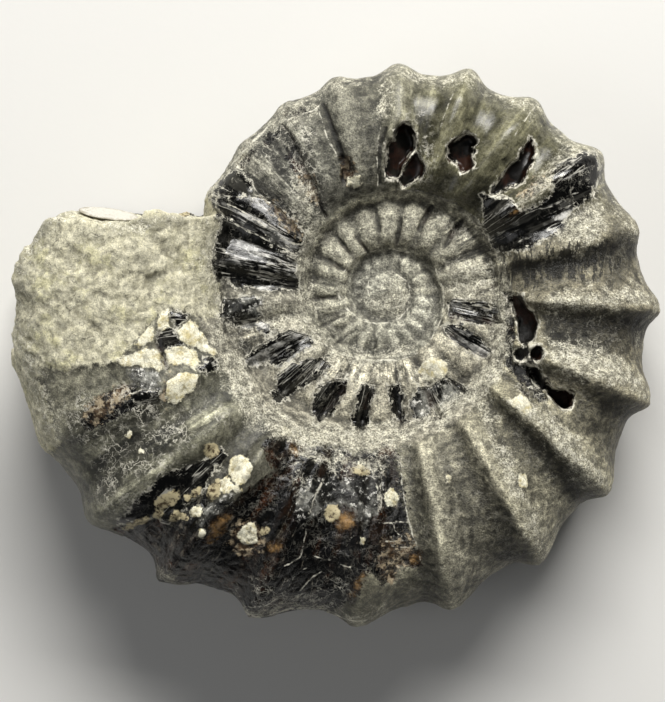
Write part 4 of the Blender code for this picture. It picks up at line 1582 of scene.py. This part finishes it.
def stone_material():
    """Stone, shell, calcite and dust, one over the other, each where its layer is marked."""
    s = Surface("fossil_surface")
    pale = linear(226, 222, 206)
    dark = s.mixed(s.ramp(s.mottle, 0.5, 0.62), linear(10, 8, 6), linear(48, 29, 21))
    dust_and_lit_edge = where_dust_and_lit_edge(s)
    dusty_threads = s.both(s.fine, s.ramp(s.blotch, 0.44, 0.56), dust_and_lit_edge)
    suture = s.ramp(s.wandering("suture", s.fringe, 34), 0.5, 2.5)
    layers = (
        (s.layer("infill", 1.5, 7), siltstone(s), 0.85),
        (s.layer("brown", 1.0, 8), brown_shell(s), s.ramp(s.ragged, 0.35, 0.65, 0.05, 0.22)),
        (s.layer("shell", 0.8, 5), black_shell(s), s.ramp(s.ragged, 0.35, 0.65, 0.05, 0.20)),
        (s.both(s.rim("shell", 2.2, 5), 0.7), pale, 0.6),
        (s.both(s.layer("rust", 3.0, 8), 0.9), rust(s), 0.5),
        (s.both(s.layer("glassy", 3.0, 6), 0.9), glassy_calcite(s), 0.12),
        (s.both(s.layer("amber", 3.0, 6), 0.85), amber_calcite(s), 0.2),
        (strands(s), pale, 0.5),
        (s.layer("tan", 1.0, 2.2), tan_crust(s), 0.5),
        (s.layer("cream", 0.8, 3), cream_calcite(s), 0.6),
        (s.both(s.layer("groove", 3.4, 3), 0.62), dark, 0.5),
        (dust_and_lit_edge, dust(s), 0.9),
        (dusty_threads, pale, 0.6),
        (s.both(suture, 0.86), linear(22, 21, 17), 0.3),
        (s.layer("hollow", 0.8, 2), dark, 0.3),
        (s.rim("hollow", 2.6, 3), pale, 0.55),
        (thin_lines(s), pale, 0.5),
    )
    colour = bare_stone(s)
    grainy, satin = s.ramp(s.speck, 0.35, 0.65, 0.45, 0.8), s.ramp(s.ragged, 0.35, 0.65, 0.16, 0.34)
    rough = s.between(s.polish, grainy, satin)
    for mask, layer_colour, layer_rough in layers:
        colour = s.mixed(mask, colour, layer_colour)
        rough = s.between(mask, rough, layer_rough)
    smooth = s.most(s.ramp(s.attribute("shell"), -1.0, 1.0, 0.0, 0.8), s.polish)
    relief = s.both(s.plus(s.both(s.speck, 0.45), s.ragged), s.ramp(smooth, 0.1, 0.9, 1.0, 0.10))
    return finished(s, colour, rough, bumped(s, relief, 0.00055))


def paper_material():
    """Off-white paper with fibres, a few specks of the stone's dust and a grubby edge."""
    n = Nodes("label_paper")
    place = n.place_in_mm()
    fibres = n.noise(n.stretched(place, (1.0, 3.0, 1.0)), 0.5, 5, 0.7)
    grubby = n.noise(place, 2.4, 5, 0.65)
    colour = n.mixed(n.ramp(fibres, 0.35, 0.65), linear(190, 187, 177), linear(208, 205, 195))
    from_edge = n.plus(n.attribute("from_edge"), n.ramp(grubby, 0.3, 0.7, -0.6, 0.6))
    colour = n.mixed(n.ramp(from_edge, -0.2, 0.9, 0.75, 0.0), colour, linear(140, 132, 112))
    colour = n.mixed(n.ramp(grubby, 0.60, 0.68, 0.0, 0.7), colour, linear(146, 138, 116))
    return finished(n, colour, 0.8, bumped(n, fibres, 0.00008))


def floor_material():
    n = Nodes("floor")
    place = n.add("TexCoord").outputs["Object"]
    colour = n.mixed(n.noise(place, 0.25, 3, 0.5), linear(222, 221, 218), linear(228, 227, 224))
    return finished(n, colour, 0.8, bumped(n, n.noise(place, 0.002, 2, 0.5), 0.00002))


# ---------------------------------------------------------------- the label, the stage, the light

LABEL_RINGS = 20
LABEL_SPOKES = 96
LABEL_THICKNESS = 0.22 * MM
LABEL_WEAR = 0.012
LABEL_WAVE = 0.06 * MM
LABEL_LIFT = 0.10 * MM
FLOOR_SIZE = 6.0
FLOOR_HEIGHT = -0.0002
SENSOR_WIDTH = 36.0
WORLD_COLOUR = (0.93, 0.96, 1.0, 1.0)
WORLD_STRENGTH = 0.08
WARM = (1.0, 0.985, 0.95)
WHITE = (1.0, 1.0, 1.0)


def paper_label():
    """An oval of paper, glued on: it waves a little and its rim lifts a little."""
    spokes = np.linspace(0.0, 2.0 * math.pi, LABEL_SPOKES, endpoint=False)
    reach = np.linspace(0.0, 1.0, LABEL_RINGS + 1)[1:]
    worn = 1.0 - LABEL_WEAR * np.abs(np.sin(7 * spokes) + np.sin(12.0 * spokes + 1.3))
    x = 0.5 * LABEL_SIZE[0] * np.outer(reach, np.cos(spokes) * worn)
    y = 0.5 * LABEL_SIZE[1] * np.outer(reach, np.sin(spokes) * worn)
    flat = np.stack([x, y, np.zeros_like(x)], axis=2).reshape(-1, 3)
    flat = np.concatenate([[[0.0, 0.0, 0.0]], flat])
    reach_of = np.concatenate([[0.0], np.repeat(reach, LABEL_SPOKES)])
    wave = LABEL_WAVE * grain(flat, 5.0, 71, 2)
    lift = LABEL_LIFT * reach_of**8 * (0.5 + 0.5 * grain(flat, 4.0, 72, 1))
    top, bottom = flat.copy(), flat.copy()
    top[:, 2] = 0.5 * LABEL_THICKNESS + wave + lift - 0.5 * LABEL_THICKNESS * reach_of**24
    bottom[:, 2] = -0.5 * LABEL_THICKNESS + wave + 0.5 * lift
    count = len(flat)

    def spoke(ring, i, side):
        return side * count + 1 + ring * LABEL_SPOKES + i % LABEL_SPOKES

    faces = []
    for i in range(LABEL_SPOKES):
        faces.append((0, spoke(0, i, 0), spoke(0, i + 1, 0)))
        faces.append((count, spoke(0, i + 1, 1), spoke(0, i, 1)))
        for ring in range(LABEL_RINGS - 1):
            a, b = spoke(ring, i, 0), spoke(ring, i + 1, 0)
            c, d = spoke(ring + 1, i + 1, 0), spoke(ring + 1, i, 0)
            faces.append((a, d, c, b))
            faces.append((a + count, b + count, c + count, d + count))
        rim = LABEL_RINGS - 1
        faces.append((spoke(rim, i, 0), spoke(rim, i, 1), spoke(rim, i + 1, 1), spoke(rim, i + 1, 0)))
    label = new_object("paper_label", np.concatenate([top, bottom]), faces)
    from_edge = (1.0 - np.concatenate([reach_of, reach_of])) * 0.5 * LABEL_SIZE[1] / MM
    set_attribute(label.data, "from_edge", from_edge)
    stand_off = Matrix.Translation((0.0, 0.0, LABEL_GAP + 0.5 * LABEL_SIZE[2]))
    to_row = Matrix.Translation((*POLE, 0.0))
    label.data.transform(to_row @ label_frame() @ stand_off)
    label.data.shade_smooth()
    return label


def floor():
    bpy.ops.mesh.primitive_plane_add(size=FLOOR_SIZE, location=(0.0, 0.0, FLOOR_HEIGHT))
    plane = bpy.context.object
    plane.name = "floor"
    plane.data.materials.append(floor_material())


def soft_light(name, towards, distance, size, power, colour):
    """An area light that faces the fossil, from a direction given as a vector."""
    direction = Vector(towards).normalized()
    data = bpy.data.lights.new(name, "AREA")
    data.shape = "RECTANGLE"
    data.size, data.size_y = size
    data.energy = power
    data.color = colour
    lamp = bpy.data.objects.new(name, data)
    lamp.location = direction * distance
    lamp.rotation_euler = direction.to_track_quat("Z", "Y").to_euler()
    bpy.context.scene.collection.objects.link(lamp)


def camera():
    """It looks straight down, a little beside the spiral's centre, and takes in the whole picture."""
    data = bpy.data.cameras.new("camera")
    data.sensor_width = SENSOR_WIDTH
    tall = PICTURE[1] * PIXEL
    data.lens = data.sensor_width * (CAMERA_HEIGHT - FOCUS_HEIGHT) / tall
    eye = bpy.data.objects.new("camera", data)
    axis = (np.array(PICTURE) / 2 - POLE_PIXEL) * PIXEL * (1, -1) + POLE
    eye.location = (*axis, CAMERA_HEIGHT)
    bpy.context.scene.collection.objects.link(eye)
    bpy.context.scene.camera = eye


def studio():
    """Plain soft light: a large lamp past the picture's top, a weak one past its left, a dim sky."""
    world = bpy.data.worlds.new("studio")
    world.use_nodes = True
    background = world.node_tree.nodes["Background"]
    background.inputs["Color"].default_value = WORLD_COLOUR
    background.inputs["Strength"].default_value = WORLD_STRENGTH
    bpy.context.scene.world = world
    soft_light("key", (0.18, 0.95, 0.85), distance=1.15, size=(0.9, 0.4), power=21.0, colour=WARM)
    soft_light("fill", (-0.9, -0.3, 1.0), distance=1.3, size=(0.7, 0.7), power=2.0, colour=WHITE)
    bpy.context.scene.view_settings.view_transform = "Standard"


stone = fossil()
stone.data.materials.append(stone_material())
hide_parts("ammonite")
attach(stone, "root")

label = paper_label()
label.data.materials.append(paper_material())
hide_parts("label")
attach(label, "root")

floor()
studio()
camera()
